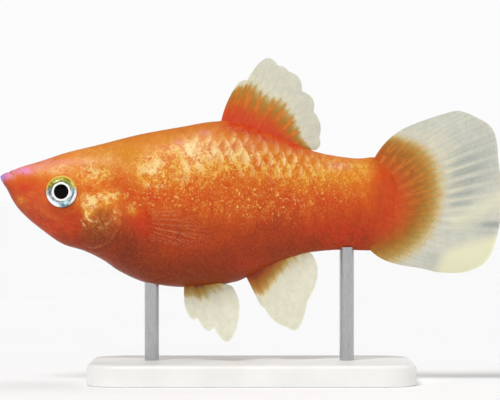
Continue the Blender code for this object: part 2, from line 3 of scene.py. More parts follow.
import bpy
import numpy as np
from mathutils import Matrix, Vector


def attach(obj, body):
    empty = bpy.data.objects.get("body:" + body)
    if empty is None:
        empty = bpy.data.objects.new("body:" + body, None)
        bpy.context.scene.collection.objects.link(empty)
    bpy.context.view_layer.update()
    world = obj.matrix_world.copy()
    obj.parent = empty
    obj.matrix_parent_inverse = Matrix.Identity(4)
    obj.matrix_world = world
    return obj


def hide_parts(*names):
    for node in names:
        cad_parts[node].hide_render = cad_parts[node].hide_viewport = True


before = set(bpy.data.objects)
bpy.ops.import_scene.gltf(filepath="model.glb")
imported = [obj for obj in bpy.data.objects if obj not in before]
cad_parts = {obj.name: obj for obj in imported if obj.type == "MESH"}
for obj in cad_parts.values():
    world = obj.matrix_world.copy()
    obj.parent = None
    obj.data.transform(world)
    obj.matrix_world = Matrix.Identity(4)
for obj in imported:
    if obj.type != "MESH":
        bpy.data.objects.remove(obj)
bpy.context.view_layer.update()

# The looks of a southern platyfish display model: an adult female of the red form on a small stand.
# Sizes are in millimetres in the fish's own frame, as in the part's source: x runs back from the tip
# of the lower jaw, z is the height above it, and the fish's left side is at -y. Colours are as they
# look on screen: red, green and blue from 0 to 255.

MM = 0.001
rng = np.random.default_rng(7)
SIDES = ((-1, "left"), (1, "right"))

# Sizes that the solids have too
TOTAL_LENGTH = 56.0
FLESH_LENGTH = 44.9
JAW_HEIGHT = 22.8
BASE_LENGTH = 36.0
BASE_DEPTH = 20.0
BASE_THICKNESS = 2.4
BASE_CORNER = 4.0
BASE_EDGE = 0.5
ROD_RADIUS = 0.8
ROD_PLACES = (("front", 16.9), ("rear", 38.6))

# The body at x: its outline, half width, the height of its widest line, and how square it is above
# and below that line, where 2 is an ellipse
BACK_LINE = (
    (0.0, 0.0), (0.15, 0.22), (0.5, 0.42), (1.1, 0.66), (2.2, 1.1), (4.5, 1.8), (7.5, 2.78),
    (11.1, 3.67), (15.6, 4.8), (20.0, 5.6), (24.4, 6.25), (26.7, 5.9), (30.0, 4.8), (33.4, 3.45),
    (36.5, 2.55), (40.1, 2.12), (41.4, 2.25), (43.0, 1.55), (44.2, -0.3), (44.9, -3.0),
)
BELLY_LINE = (
    (0.0, 0.0), (0.15, -0.42), (0.78, -1.45), (1.34, -2.56), (2.12, -3.67), (4.7, -5.95), (7.2, -7.6),
    (9.2, -8.2), (11.4, -9.25), (13.4, -10.6), (16.7, -11.9), (20.6, -12.3), (25.0, -11.95),
    (27.3, -11.25), (31.2, -9.4), (35.1, -8.35), (38.0, -8.15), (41.2, -8.22), (43.0, -7.6),
    (44.2, -5.9), (44.9, -3.0),
)
HALF_WIDTH = (
    (0.0, 0.0), (0.15, 0.42), (0.5, 0.78), (1.1, 1.15), (2.2, 1.6), (4.5, 2.3), (6.9, 2.85), (9.0, 3.3),
    (11.1, 3.65), (13.4, 4.05), (16.0, 4.5), (19.0, 4.85), (22.0, 4.85), (24.7, 4.5), (27.3, 3.85),
    (31.2, 2.85), (35.0, 2.2), (38.0, 1.85), (41.0, 1.45), (43.0, 1.0), (44.2, 0.6), (44.9, 0.0),
)
WIDEST_HEIGHT = (
    (0.0, 0.0), (1.1, -0.2), (4.5, -1.3), (6.9, -1.7), (11.1, -2.8), (16.0, -4.6), (21.0, -5.6),
    (27.3, -3.9), (35.0, -2.9), (44.9, -3.0),
)
ROOF_SHAPE = ((0.0, 2.2), (2.2, 2.7), (6.9, 2.6), (11.1, 2.2), (20.0, 1.8), (30.0, 1.8), (44.9, 2.0))
KEEL_SHAPE = ((0.0, 2.0), (4.5, 1.8), (9.0, 1.8), (16.0, 2.1), (22.0, 2.1), (30.0, 1.8), (44.9, 2.0))

# The wedge in which the flesh runs into the tail fin: how steeply it grows inward from its edge's
# half thickness, where it starts and is complete, and the height of its tip
TAIL_WEDGE = 0.6
TAIL_EDGE = 0.04
TAIL_START = 38.6
TAIL_FULL = 42.8
TAIL_TIP_Z = -3.0

# The eye's middle, and how far it turns from the flank's direction (0) to straight sideways (1)
EYE_CENTRE = (7.07, -1.64)
EYE_TURN = 0.5

# The gill cover: its middle, its reach to the front, the rear, up and down, and its tilt
GILL_CENTRE = (10.9, -4.2)
GILL_FRONT = 1.95
GILL_REAR = 2.95
GILL_UP = 2.7
GILL_DOWN = 3.75
GILL_TILT = math.radians(16)
NOSTRILS = ((2.7, 0.35), (4.1, 0.3))

# How far the skin lies inside the solids, bare and below scales
SKIN_BARE_INSET = 0.04
SKIN_SCALED_INSET = 0.06


def smooth_curve(points):
    """A function for arrays of x: the smooth line through (x, value) points that never swings past them."""
    xs, ys = np.array(points, float).T
    steps = np.diff(xs)
    slopes = np.diff(ys) / steps
    tangents = np.zeros(len(xs))
    tangents[0], tangents[-1] = slopes[0], slopes[-1]
    for i in range(1, len(xs) - 1):
        if slopes[i - 1] * slopes[i] > 0:
            before = 2 * steps[i] + steps[i - 1]
            after = steps[i] + 2 * steps[i - 1]
            tangents[i] = (before + after) / (before / slopes[i - 1] + after / slopes[i])

    def value(x):
        x = np.clip(x, xs[0], xs[-1])
        i = np.clip(np.searchsorted(xs, x, side="right") - 1, 0, len(xs) - 2)
        t = (x - xs[i]) / steps[i]
        rise = t * t * (3 - 2 * t)
        lead = t * (1 - t) ** 2 * steps[i]
        tail = t * t * (t - 1) * steps[i]
        return ys[i] + rise * (ys[i + 1] - ys[i]) + lead * tangents[i] + tail * tangents[i + 1]

    return value


back_line = smooth_curve(BACK_LINE)
belly_line = smooth_curve(BELLY_LINE)
half_width = smooth_curve(HALF_WIDTH)
widest_height = smooth_curve(WIDEST_HEIGHT)
roof_shape = smooth_curve(ROOF_SHAPE)
keel_shape = smooth_curve(KEEL_SHAPE)


def smooth_step(t):
    t = np.clip(t, 0.0, 1.0)
    return t * t * (3 - 2 * t)


def hump(distance, width):
    return np.exp(-((distance / width) ** 2))


def grid(first, second):
    return np.meshgrid(first, second, indexing="ij")


def running_lengths(points):
    """The length of the line through points up to each of them."""
    return np.concatenate([[0], np.cumsum(np.linalg.norm(np.diff(points, axis=0), axis=1))])


def to_world(points):
    return (np.asarray(points) + np.array([-TOTAL_LENGTH / 2, 0, JAW_HEIGHT])) * MM


def body_points(x, angle):
    """The body's surface at x, angle round from the right side's widest line towards the back."""
    widest = widest_height(x)
    sine, cosine = np.sin(angle), np.cos(angle)
    above = sine >= 0
    rise = np.maximum(np.where(above, back_line(x) - widest, widest - belly_line(x)), 0)
    shape = 2 / np.where(above, roof_shape(x), keel_shape(x))
    y = half_width(x) * np.sign(cosine) * np.abs(cosine) ** shape
    z = widest + rise * np.sign(sine) * np.abs(sine) ** shape
    return np.stack([x, y, z], -1)


def flesh_points(x, angle):
    """The body's surface, thinned to a wedge towards its outline where it runs into the tail fin."""
    points = body_points(x, angle)
    y, z = points[..., 1], points[..., 2]
    inside = np.minimum(back_line(x) - z, z - belly_line(x))
    inside = np.maximum(np.minimum(inside, (FLESH_LENGTH - x) * 0.9), 0)
    wide = np.abs(y)
    thin = np.minimum(wide, TAIL_EDGE + TAIL_WEDGE * inside**2 / (inside + 1))
    share = smooth_step((x - TAIL_START) / (TAIL_FULL - TAIL_START))
    points[..., 1] = np.sign(y) * (wide + share * (thin - wide))
    return points


def flesh_normals(x, angle):
    step, turn = 0.03, 0.01
    inner = np.clip(x, step, FLESH_LENGTH - step)
    along = flesh_points(inner + step, angle) - flesh_points(inner - step, angle)
    around = flesh_points(inner, angle + turn) - flesh_points(inner, angle - turn)
    normals = np.cross(around, along)
    return normals / np.maximum(np.linalg.norm(normals, axis=-1, keepdims=True), 1e-12)


def flank_y(x, z):
    """How far the body's surface is from the middle plane at this place in side view."""
    widest = widest_height(x)
    above = z >= widest
    limit = np.where(above, back_line(x), belly_line(x))
    shape = np.where(above, roof_shape(x), keel_shape(x))
    share = np.minimum(np.abs((z - widest) / (limit - widest)), 1.0)
    return half_width(x) * (1 - share**shape) ** (1 / shape)


def flank_normal(x, z, side):
    step = 0.3
    along = Vector((2 * step, side * (flank_y(x + step, z) - flank_y(x - step, z)), 0))
    up = Vector((0, side * (flank_y(x, z + step) - flank_y(x, z - step)), 2 * step))
    normal = along.cross(up)
    if normal.y * side < 0:
        normal.negate()
    return normal.normalized()


# Meshes

def tube_faces(rings, sides):
    """The quads of a tube of points numbered ring by ring, facing out if the rings turn that way."""
    ring, side = grid(np.arange(rings - 1), np.arange(sides))
    here, after = ring * sides + side, ring * sides + (side + 1) % sides
    return np.stack([here, after, after + sides, here + sides], -1).reshape(-1, 4)


def pointed_tube_faces(rings, sides):
    """A tube's quads, then the triangles from its first ring to a point before it and from its last
    ring to a point behind it; the two points are numbered after all the rings."""
    here = np.arange(sides)
    after = (here + 1) % sides
    first, last = np.full(sides, rings * sides), (rings - 1) * sides
    front = np.stack([first, after, here], -1)
    rear = np.stack([first + 1, last + here, last + after], -1)
    return [*tube_faces(rings, sides).tolist(), *front.tolist(), *rear.tolist()]


def capped_tube_faces(rings, sides):
    """A tube's quads and a flat cap on each of its ends."""
    low = np.arange(sides)
    high = low + (rings - 1) * sides
    return [*tube_faces(rings, sides).tolist(), low[::-1].tolist(), high.tolist()]


def slab_faces(rows, columns, flip=False):
    """The quads of a closed slab, from a rows by columns grid of points for each of its two sides."""
    each = rows * columns
    numbers = np.arange(each).reshape(rows, columns)
    near = np.stack([numbers[:-1, :-1], numbers[:-1, 1:], numbers[1:, 1:], numbers[1:, :-1]], -1)
    near = near.reshape(-1, 4)
    rim = np.concatenate([numbers[0], numbers[1:, -1], numbers[-1, -2::-1], numbers[-2:0:-1, 0]])
    after = np.roll(rim, -1)
    walls = np.stack([after, rim, rim + each, after + each], -1)
    quads = np.concatenate([near, near[:, ::-1] + each, walls])
    return quads[:, ::-1] if flip else quads


def make_piece(name, points, faces, material, replaced=(), uvs=None, values=None, sharp=None):
    """A piece from points in the fish's frame, with its OFBake map and per-point values."""
    mesh = bpy.data.meshes.new(name)
    mesh.from_pydata(to_world(points).tolist(), [], faces)
    if uvs is not None:
        layer = mesh.uv_layers.new(name="OFBake")
        layer.data.foreach_set("uv", np.asarray(uvs, dtype=np.float32).ravel())
    for key, numbers in (values or {}).items():
        attribute = mesh.attributes.new(key, "FLOAT", "POINT")
        attribute.data.foreach_set("value", np.asarray(numbers, dtype=np.float32).ravel())
    mesh.shade_smooth()
    if sharp:
        mesh.set_sharp_from_angle(angle=math.radians(sharp))
    mesh.materials.append(material)
    obj = bpy.data.objects.new(name, mesh)
    bpy.context.scene.collection.objects.link(obj)
    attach(obj, "root")
    if replaced:
        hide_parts(*replaced)


# Materials

def linear(colour):
    """A colour as it looks on screen as the linear colour that a shader takes."""
    shares = np.array(colour) / 255
    shares = np.where(shares <= 0.04045, shares / 12.92, ((shares + 0.055) / 1.055) ** 2.4)
    return (*(float(v) for v in shares), 1.0)


class Value:
    """A number or colour that varies over a surface: one output of a shader's node."""

    def __init__(self, shader, socket):
        self.shader = shader
        self.socket = socket

    def math(self, operation, first, second):
        return self.shader.add("Math", {0: first, 1: second}, operation=operation)

    def __add__(self, other):
        return self.math("ADD", self, other)

    def __sub__(self, other):
        return self.math("SUBTRACT", self, other)

    def __rsub__(self, other):
        return self.math("SUBTRACT", other, self)

    def __mul__(self, other):
        return self.math("MULTIPLY", self, other)

    def clamped(self):
        """The same sum or product, held between 0 and 1."""
        self.socket.node.use_clamp = True
        return self

    def between(self, low, high):
        """0 where this is at low and 1 where it is at high, eased; high may be below low."""
        rising = float(low < high)
        inputs = {
            "Value": self, "From Min": min(low, high), "From Max": max(low, high),
            "To Min": 1 - rising, "To Max": rising,
        }
        return self.shader.add("MapRange", inputs, interpolation_type="SMOOTHSTEP")


class Shader:
    """One material's nodes, made from small steps, and the colour that is laid on in coats."""

    def __init__(self, name):
        self.material = bpy.data.materials.new(name)
        self.material.use_nodes = True
        self.tree = self.material.node_tree
        self.surface = self.tree.nodes["Principled BSDF"]
        self.place = self.add("TexCoord", {}, "Object")
        self.colour = None

    def give(self, value, socket):
        if isinstance(value, Value):
            self.tree.links.new(value.socket, socket)
        else:
            socket.default_value = linear(value) if socket.type == "RGBA" else value

    def add(self, kind, inputs, output=0, **settings):
        """Adds a node with its settings and inputs, and hands back one of its outputs."""
        node = self.tree.nodes.new("ShaderNode" + kind)
        for key, value in settings.items():
            setattr(node, key, value)
        for key, value in inputs.items():
            self.give(value, node.inputs[key])
        return Value(self, node.outputs[output])

    def attributes(self, *names):
        return [self.add("Attribute", {}, "Fac", attribute_name=name) for name in names]

    def attribute(self, name):
        return self.attributes(name)[0]

    def noise(self, size, detail=3.0, roughness=0.5, distortion=0.0, stretch=None):
        """Noise whose features are about size millimetres across, stretched along each axis if asked."""
        place = self.place
        if stretch:
            place = self.add("Mapping", {"Vector": place, "Scale": [1 / s for s in stretch]})
        inputs = {
            "Vector": place, "Scale": 1 / (size * MM), "Detail": detail, "Roughness": roughness,
            "Distortion": distortion,
        }
        return self.add("TexNoise", inputs)

    def ramp(self, value, stops):
        made = self.add("ValToRGB", {0: value})
        elements = made.socket.node.color_ramp.elements
        for element, (position, colour) in zip(elements, (stops[0], stops[-1])):
            element.position, element.color = position, linear(colour)
        for position, colour in stops[1:-1]:
            elements.new(position).color = linear(colour)
        return made

    def mix(self, share, first, second):
        return self.add("Mix", {0: share, 6: first, 7: second}, 2, data_type="RGBA")

    def lay(self, share, colour):
        """Lays a coat of colour over what is there, as thick as share says."""
        self.colour = self.mix(share, self.colour, colour)

    def bump(self, height, strength, distance):
        """Adds a bump of distance millimetres to the surface."""
        normal = self.surface.inputs["Normal"]
        inputs = {"Height": height, "Strength": strength, "Distance": distance * MM}
        if normal.links:
            inputs["Normal"] = Value(self, normal.links[0].from_socket)
        self.give(self.add("Bump", inputs), normal)

    def set(self, **values):
        for key, value in values.items():
            self.give(value, self.surface.inputs[key.replace("_", " ")])


# Markings

# The same on the skin and on the scales: patches in side view, each as x, z, half length, half
# height and strength
MARKS = {
    # Gold: the fish's own gold, which on the upper flank and in the glints behind the gill cover is partly
    # painted highlight
    "gold": (
        (21.4, 2.3, 4.4, 1.9, 0.95), (18.4, 1.1, 2.9, 1.9, 0.9), (25.0, 2.2, 4.8, 1.7, 1.0),
        (30.5, 1.1, 4.2, 1.3, 0.8), (16.8, 0.1, 1.8, 1.1, 0.6), (12.4, 2.3, 3.4, 1.5, 0.55),
        (36.0, 0.6, 3.6, 1.0, 0.5), (10.3, 0.3, 1.7, 1.3, 0.85), (38.6, -0.2, 3.0, 0.5, 0.5),
        (33.4, -0.3, 3.4, 1.0, 0.4), (10.9, -2.6, 1.8, 0.95, 1.2), (12.9, -2.1, 1.0, 0.6, 0.9),
        (14.9, -3.5, 0.55, 0.6, 0.8), (10.0, -3.9, 0.6, 0.9, 0.9), (13.0, -4.2, 0.4, 0.7, 0.5),
        (2.4, -2.6, 0.55, 0.5, 0.5), (12.0, 0.4, 0.9, 0.7, 0.6), (5.0, 1.2, 0.6, 0.35, 0.5),
        (40.6, 1.1, 1.6, 0.8, 0.6), (38.2, 1.4, 2.2, 0.7, 0.4),
    ),
    # Cream painted highlights where light shines off the upper flank, the gill cover and above the eye
    "painted_highlight": (
        (21.3, 3.0, 1.0, 1.1, 1.2), (16.9, 0.7, 1.2, 0.55, 1.1), (17.8, 1.6, 0.9, 0.5, 0.7),
        (20.8, 1.0, 0.5, 0.6, 0.95), (22.2, 1.1, 0.5, 0.5, 0.8), (20.6, -0.2, 0.3, 0.5, 0.8),
        (18.1, -1.0, 0.6, 0.3, 0.9), (16.7, -0.9, 0.35, 0.25, 0.9), (23.8, 2.7, 0.7, 0.9, 0.9),
        (25.6, 2.6, 0.6, 0.9, 0.9), (22.7, 2.0, 0.9, 0.6, 0.5), (27.6, 2.2, 1.6, 0.8, 0.6),
        (19.4, 3.0, 0.5, 0.5, 0.5), (9.9, -2.6, 0.7, 0.6, 0.65), (11.4, -2.3, 1.3, 0.5, 0.65),
        (10.6, -3.2, 0.5, 0.45, 0.6), (6.6, 0.85, 1.1, 0.5, 0.55), (13.0, -1.8, 0.5, 0.35, 0.5),
        (14.7, -3.3, 0.35, 0.35, 0.7), (10.4, 0.3, 1.3, 0.8, 0.6), (28.9, -2.0, 0.5, 0.2, 0.7),
        (32.8, -2.5, 0.6, 0.2, 0.5),
    ),
    "speckle": (
        (20.0, -0.6, 6.0, 1.9, 0.9), (27.0, -0.9, 6.5, 1.9, 1.0), (33.5, -1.4, 5.0, 1.5, 0.85),
        (17.5, -2.6, 3.6, 1.0, 0.8), (24.0, -3.0, 4.5, 1.2, 0.8), (38.5, -1.0, 3.6, 1.6, 0.5),
        (30.0, -3.6, 5.0, 1.4, 0.55), (10.0, -0.4, 2.0, 1.0, 0.5),
    ),
    # Where the scales show, with painted glints at their rear edges and painted shade in front of them
    "crescent": (
        (25.6, 3.3, 3.4, 1.4, 1.0), (29.6, 2.0, 3.4, 1.4, 0.85), (32.8, 1.3, 3.0, 1.1, 0.75),
        (22.0, 3.6, 2.2, 1.2, 0.5), (37.6, 1.3, 2.2, 0.7, 0.4), (26.0, 0.2, 9.0, 1.8, 0.15),
    ),
    "red": (
        (3.2, -1.3, 1.7, 1.4, 0.8), (3.6, -3.6, 2.4, 2.2, 0.25), (6.0, -5.6, 2.6, 1.5, 0.6),
        (38.5, -6.3, 6.0, 2.2, 0.7), (15.7, -5.2, 1.0, 1.5, 1.0), (16.0, -2.0, 3.0, 0.9, 0.8),
        (13.6, -0.9, 0.9, 1.3, 0.5), (26.2, 5.7, 1.3, 0.75, 1.2), (28.0, 5.1, 1.6, 0.75, 1.2),
        (30.4, 4.3, 1.6, 0.65, 1.1), (32.6, 3.5, 1.4, 0.5, 0.9), (36.5, -2.6, 5.0, 0.8, 0.5),
        (22.0, -2.4, 3.0, 1.0, 0.25), (27.5, -9.6, 3.0, 1.2, 0.6), (8.6, -5.4, 1.4, 1.2, 0.5),
        (33.2, 2.75, 2.0, 0.6, 0.45), (28.9, 4.2, 1.2, 0.5, 0.25),
    ),
    # Brown: the gill cover's own, and on the throat, the belly and under the breast fin partly painted
    # shade
    "brown_and_shade": (
        (11.0, -6.4, 1.9, 1.3, 0.85), (14.3, -7.8, 2.2, 2.6, 0.75), (18.0, -10.4, 4.6, 1.7, 0.42),
        (24.0, -10.8, 4.0, 1.0, 0.3), (20.4, -5.4, 3.2, 1.5, 0.35), (25.8, -9.2, 2.6, 1.4, 0.3),
    ),
    "olive": ((11.6, -4.7, 1.4, 1.3, 0.8), (10.4, -5.9, 1.3, 0.9, 0.25)),
    "pink": (
        (2.8, 0.65, 0.9, 0.42, 0.8), (2.2, 0.8, 1.5, 0.3, 0.5), (1.0, 0.2, 0.6, 0.5, 0.9),
        (4.4, 1.2, 1.6, 0.45, 0.28), (22.8, 4.9, 0.7, 0.3, 0.25), (26.8, 3.4, 3.0, 0.7, 0.14),
        (19.9, 3.8, 0.4, 0.3, 0.4), (37.6, 1.2, 1.2, 0.35, 0.25), (6.0, 1.7, 2.4, 0.35, 0.25),
    ),
    "peach": (
        (6.6, 0.9, 1.9, 0.75, 0.8), (9.6, 2.2, 2.0, 0.9, 0.6), (4.4, 0.6, 1.2, 0.5, 0.4),
        (4.4, -2.8, 2.6, 2.2, 0.12), (1.6, 0.0, 0.22, 0.3, 0.8), (13.4, -4.2, 0.5, 0.6, 0.4),
    ),
    "smooth": ((14.4, 2.7, 1.5, 1.2, 0.85), (17.6, 4.2, 2.4, 0.7, 0.4), (11.6, 2.9, 1.4, 0.7, 0.4)),
    "violet": ((0.25, 0.1, 0.42, 0.5, 1.0), (0.1, -0.3, 0.25, 0.4, 0.7)),
    "blush": ((3.6, -3.0, 2.4, 2.0, 0.6), (6.4, -5.2, 2.0, 1.3, 0.4), (9.0, -0.6, 1.2, 0.8, 0.3)),
    "cheek": (
        (4.4, -2.6, 3.2, 2.6, 1.0), (9.6, -0.6, 2.2, 2.0, 0.9), (7.0, -5.0, 3.0, 1.4, 0.7),
        (12.6, -0.2, 1.4, 2.0, 0.6),
    ),
}

# Painted glints on the gill cover, as lines: the points along each, its half width and its strength
GILL_GLINTS = (
    (((9.75, -3.9), (9.8, -4.4), (10.15, -4.85), (10.9, -5.0)), 0.12, 1.0),
    (((12.7, -3.5), (13.05, -4.0), (13.0, -4.6)), 0.1, 0.5),
    (((9.1, -4.8), (9.6, -5.4)), 0.1, 0.6),
    (((10.6, -2.9), (11.6, -2.5), (12.9, -2.2)), 0.16, 0.7),
    (((9.5, -3.4), (10.2, -2.8)), 0.14, 0.6),
    (((11.1, -5.6), (12.0, -5.3), (12.6, -4.8)), 0.07, 0.35),
)

# Colours low to high on the flank, the coats laid over them, and those of the tail's root. The flank's
# colours darken towards the belly, partly the fish's own colour and partly painted shade, and darken
# again along the top of the back as painted shade against the light from above.
FLESH_STOPS = (
    (0.0, (134, 54, 18)), (0.1, (146, 50, 16)), (0.26, (172, 56, 14)), (0.42, (198, 74, 14)),
    (0.58, (214, 98, 22)), (0.74, (222, 122, 32)), (0.9, (220, 130, 42)), (1.0, (208, 112, 36)),
)
BRIGHT_RED = (204, 50, 18)
SALMON = (216, 72, 52)
DEEP_BROWN = (118, 40, 16)
DULL_OLIVE = (150, 80, 28)
OLIVE_PALE = (222, 150, 68)
OLIVE_DARK = (150, 62, 24)
ORANGE = (220, 108, 20)
# The painted shade in the pockets in front of the scales' rear edges
POCKET_SHADE_ORANGE = (200, 88, 22)
WARM_ORANGE = (230, 122, 34)
DUSKY_AMBER = (212, 132, 26)
AMBER = (228, 153, 34)
GILT = (218, 136, 66)
GOLDEN = (240, 172, 72)
PALE_GOLD = (248, 204, 94)
BRIGHT_GOLD = (250, 208, 112)
SILVERY_GOLD = (250, 222, 150)
HIGHLIGHT_CREAM = (254, 234, 172)
PEACH_SKIN = (238, 170, 96)
GLINT_PEARL = (252, 216, 160)
ORBIT = (250, 190, 84)
ROSE = (232, 142, 182)
LILAC = (168, 132, 206)
RECESS_SHADE = (80, 30, 22)
PALE_FIN = (206, 205, 188)

TAIL_STOPS = (
    (0.0, (204, 66, 22)), (0.23, (200, 70, 22)), (0.3, (184, 82, 22)), (0.35, (168, 90, 22)),
    (0.4, (160, 104, 34)), (0.44, (166, 126, 52)), (0.48, (178, 150, 82)), (0.52, (202, 186, 134)),
    (0.58, PALE_FIN),
)
TAIL_ROOTS = ((194, 56, 18), (214, 78, 24))

# The tail's red core and the ochre round it: the middle and radius of each; where the flesh takes
# on the tail's colours and over what length; and the same for the upper tones of the fins' roots
TAIL_CORE = (40.4, -2.7)
TAIL_CORE_RADIUS = 5.0
TAIL_OCHRE = (40.5, -1.55)
TAIL_OCHRE_RADIUS = 8.2
TAIL_COLOUR_START = 40.4
TAIL_COLOUR_SPAN = 2.4
UPPER_START = -7.0
UPPER_SPAN = 8.0


def patches(x, z, places):
    """How much a marking shows at each place, from 0 to 1."""
    total = np.zeros_like(x)
    for centre_x, centre_z, length, height, strength in places:
        total += strength * hump(x - centre_x, length) * hump(z - centre_z, height)
    return np.minimum(total, 1.0)


def tail_zone(x, z):
    """0 in the red core of the tail, 0.3 on its edge and 0.5 where the ochre round it ends."""
    inner = 0.3 * np.hypot(x - TAIL_CORE[0], z - TAIL_CORE[1]) / TAIL_CORE_RADIUS
    rise = z - TAIL_OCHRE[1]
    rise = rise * (1 + 0.22 * (np.maximum(rise, 0) / 5.6) ** 3)
    outer = 0.5 * np.hypot(x - TAIL_OCHRE[0], rise) / TAIL_OCHRE_RADIUS
    return inner + (outer - inner) * smooth_step((outer - 0.3) / 0.16)


def upper_share(z):
    """0 low on the fish and 1 above its middle, for the tones of the fins' roots."""
    return smooth_step((z - UPPER_START) / UPPER_SPAN)


def markings(points):
    """The values that the flesh material mixes its colours by."""
    x, z = points[..., 0], points[..., 2]
    top, bottom = back_line(x), belly_line(x)
    values = {key: patches(x, z, places) for key, places in MARKS.items()}
    share = np.clip((z - bottom) / np.maximum(top - bottom, 0.4), 0, 1)
    values["height"] = share - 0.05 * hump(x - 2.6, 2.4)
    values["tail"] = smooth_step((x - TAIL_COLOUR_START) / TAIL_COLOUR_SPAN)
    values["zone"] = tail_zone(x, z)
    values["high"] = upper_share(z)
    return values


def root_colour(s, level, stops, roots):
    """A fin's coloured root: stops over its zones, redder inside, low and high on the fish."""
    colour = s.mix(level.between(0.3, 0.1), s.ramp(level, stops), s.mix(s.attribute("high"), *roots))
    mottle = s.noise(0.55, 5.0, 0.7).between(0.45, 0.62) * 0.22
    return s.mix(mottle, colour, (218, 112, 38))


def lay_face_tints(s, spots):
    """Soft streaks and a blush on the cheek, and the gill cover's dull, spotted middle."""
    streaks = s.noise(0.8, 5.0, 0.62, 0.15, stretch=(1.5, 1.0, 1.0))
    cheek, olive = s.attributes("cheek", "olive")
    s.lay(cheek * streaks.between(0.45, 0.68) * 0.38, WARM_ORANGE)
    s.lay(cheek * streaks.between(0.5, 0.32) * 0.25, BRIGHT_RED)
    s.lay(s.attribute("blush") * 0.5, SALMON)
    s.lay(olive, DULL_OLIVE)
    s.lay(olive * spots.between(0.47, 0.6) * 0.6, OLIVE_PALE)
    s.lay(olive * spots.between(0.5, 0.4) * 0.6, OLIVE_DARK)


def lay_gold(s, broad, spots, gold, painted_highlight):
    """Amber areas broken up by pale, grainy spots with darker orange between, and cream painted highlights,
    some where the highlight marks lie and some in the palest spots.
    """
    s.lay(gold * broad.between(0.34, 0.56) * 0.75, AMBER)
    strong = gold * gold
    s.lay(spots.between(0.5, 0.38) * (strong * 0.7), ORANGE)
    s.lay(spots.between(0.465, 0.6) * strong * 0.82, PALE_GOLD)
    # Cream painted highlights, and the palest spots, which are partly painted highlight too
    s.lay(painted_highlight * (spots + painted_highlight * 0.09).between(0.46, 0.63) * 0.9, HIGHLIGHT_CREAM)
    s.lay(spots.between(0.575, 0.66) * strong * 0.6, HIGHLIGHT_CREAM)
    s.lay(s.attribute("smooth"), DUSKY_AMBER)


def lay_grains(s, blots, spots, grit, gold, speckle):
    """Golden and red specks side by side, gathered in clusters, the brightest of them partly painted
    glints.
    """
    grains = speckle * (blots.between(0.4, 0.58) * 0.7 + 0.3) + gold * 0.4
    s.lay((spots.between(0.51, 0.64) * grains * 0.8).clamped(), GOLDEN)
    s.lay((grit.between(0.47, 0.36) * (speckle + gold * 0.25) * 0.55).clamped(), BRIGHT_RED)
    s.lay(grit.between(0.46, 0.64) * 0.16, WARM_ORANGE)
    # The brightest golden specks, partly painted glints
    glint_specks = s.noise(0.22, 2.0, 0.5).between(0.58, 0.68)
    s.lay((glint_specks * grains * 0.8).clamped(), BRIGHT_GOLD)


def flesh_material(name, scaled):
    """Red-orange skin with golden grains and painted highlights; the bare head has painted glints and
    painted shade in its grooves, and scales add a pale painted glint near each plate's rear edge with
    painted shade in front of it.
    """
    s = Shader(name)
    broad = s.noise(1.6, 3.0, 0.55, 0.4)
    blots = s.noise(0.75, 3.0, 0.6, 0.8)
    veins = s.noise(0.62, 6.0, 0.68, 0.5)
    grit = s.noise(0.26, 3.0, 0.72, 0.3)
    height, gold, speckle, painted_highlight, smooth = s.attributes("height", "gold", "speckle", "painted_highlight", "smooth")
    level = height + (broad - 0.5) * 0.3
    spots = veins * 0.7 + grit * 0.5 - 0.1
    if scaled:
        tone = s.attribute("tone")
        level = level + tone * 0.035
        spots = spots + tone * 0.022
    # The ramp up the flank, with painted shade low on the flank and along the top of the back
    s.colour = s.ramp(level, FLESH_STOPS)

    # Broad red areas, brown ones that are partly painted shade, then the blots that break up the whole
    # upper side
    s.lay(s.attribute("red") * (blots.between(0.36, 0.6) + 0.35).clamped(), BRIGHT_RED)
    s.lay(s.attribute("brown_and_shade"), DEEP_BROWN)
    s.lay(blots.between(0.5, 0.38) * (height.between(0.25, 0.6) * 0.3), BRIGHT_RED)
    if not scaled:
        lay_face_tints(s, spots)
    s.lay(s.attribute("peach") * veins.between(0.3, 0.6), PEACH_SKIN)
    lay_gold(s, broad, spots, gold, painted_highlight)
    lay_grains(s, blots, spots, grit, gold, speckle)
    s.lay(s.attribute("pink") * (blots.between(0.4, 0.6) + 0.5).clamped(), ROSE)
    s.lay(s.attribute("violet"), LILAC)
    if scaled:
        # Painted glints at the scales' rear edges, then painted shade in the pockets in front of them
        crescent, rim, glint, pocket_shade = s.attributes("crescent", "rim", "glint", "pocket_shade")
        s.lay(rim * crescent * (blots.between(0.3, 0.56) + 0.1).clamped() * glint, GLINT_PEARL)
        s.lay(pocket_shade * (crescent + speckle * 0.6).clamped() * 0.58, POCKET_SHADE_ORANGE)
    else:
        gill_glint, gilt, orbit, recess_shade = s.attributes("gill_glint", "gilt", "orbit", "recess_shade")
        # Painted glints on the gill cover
        s.lay(gill_glint * veins.between(0.4, 0.54) * 0.9, SILVERY_GOLD)
        s.lay(gilt * veins.between(0.34, 0.6) * 0.25, GILT)
        s.lay(orbit, ORBIT)
        # Painted shade in the mouth's groove, the gill slit, the nostrils and round the eye
        s.lay(recess_shade, RECESS_SHADE)
    s.lay(s.attribute("tail"), root_colour(s, s.attribute("zone"), TAIL_STOPS, TAIL_ROOTS))
    s.set(
        Base_Color=s.colour, Roughness=blots * 0.3 + 0.22 + smooth * 0.45, Specular_IOR_Level=0.19,
        Subsurface_Weight=0.08, Subsurface_Scale=0.5 * MM, Subsurface_Radius=(1.0, 0.25, 0.08),
    )
    s.bump(grit, 0.5, 0.016)
    s.bump(blots, 0.4, 0.05)
    return s.material


# Head relief

# The mouth's line in side view, from the top of the lower lip down to its corner
MOUTH_LINE = ((0.86, 0.62), (1.3, 0.5), (1.62, 0.2), (1.72, -0.25))

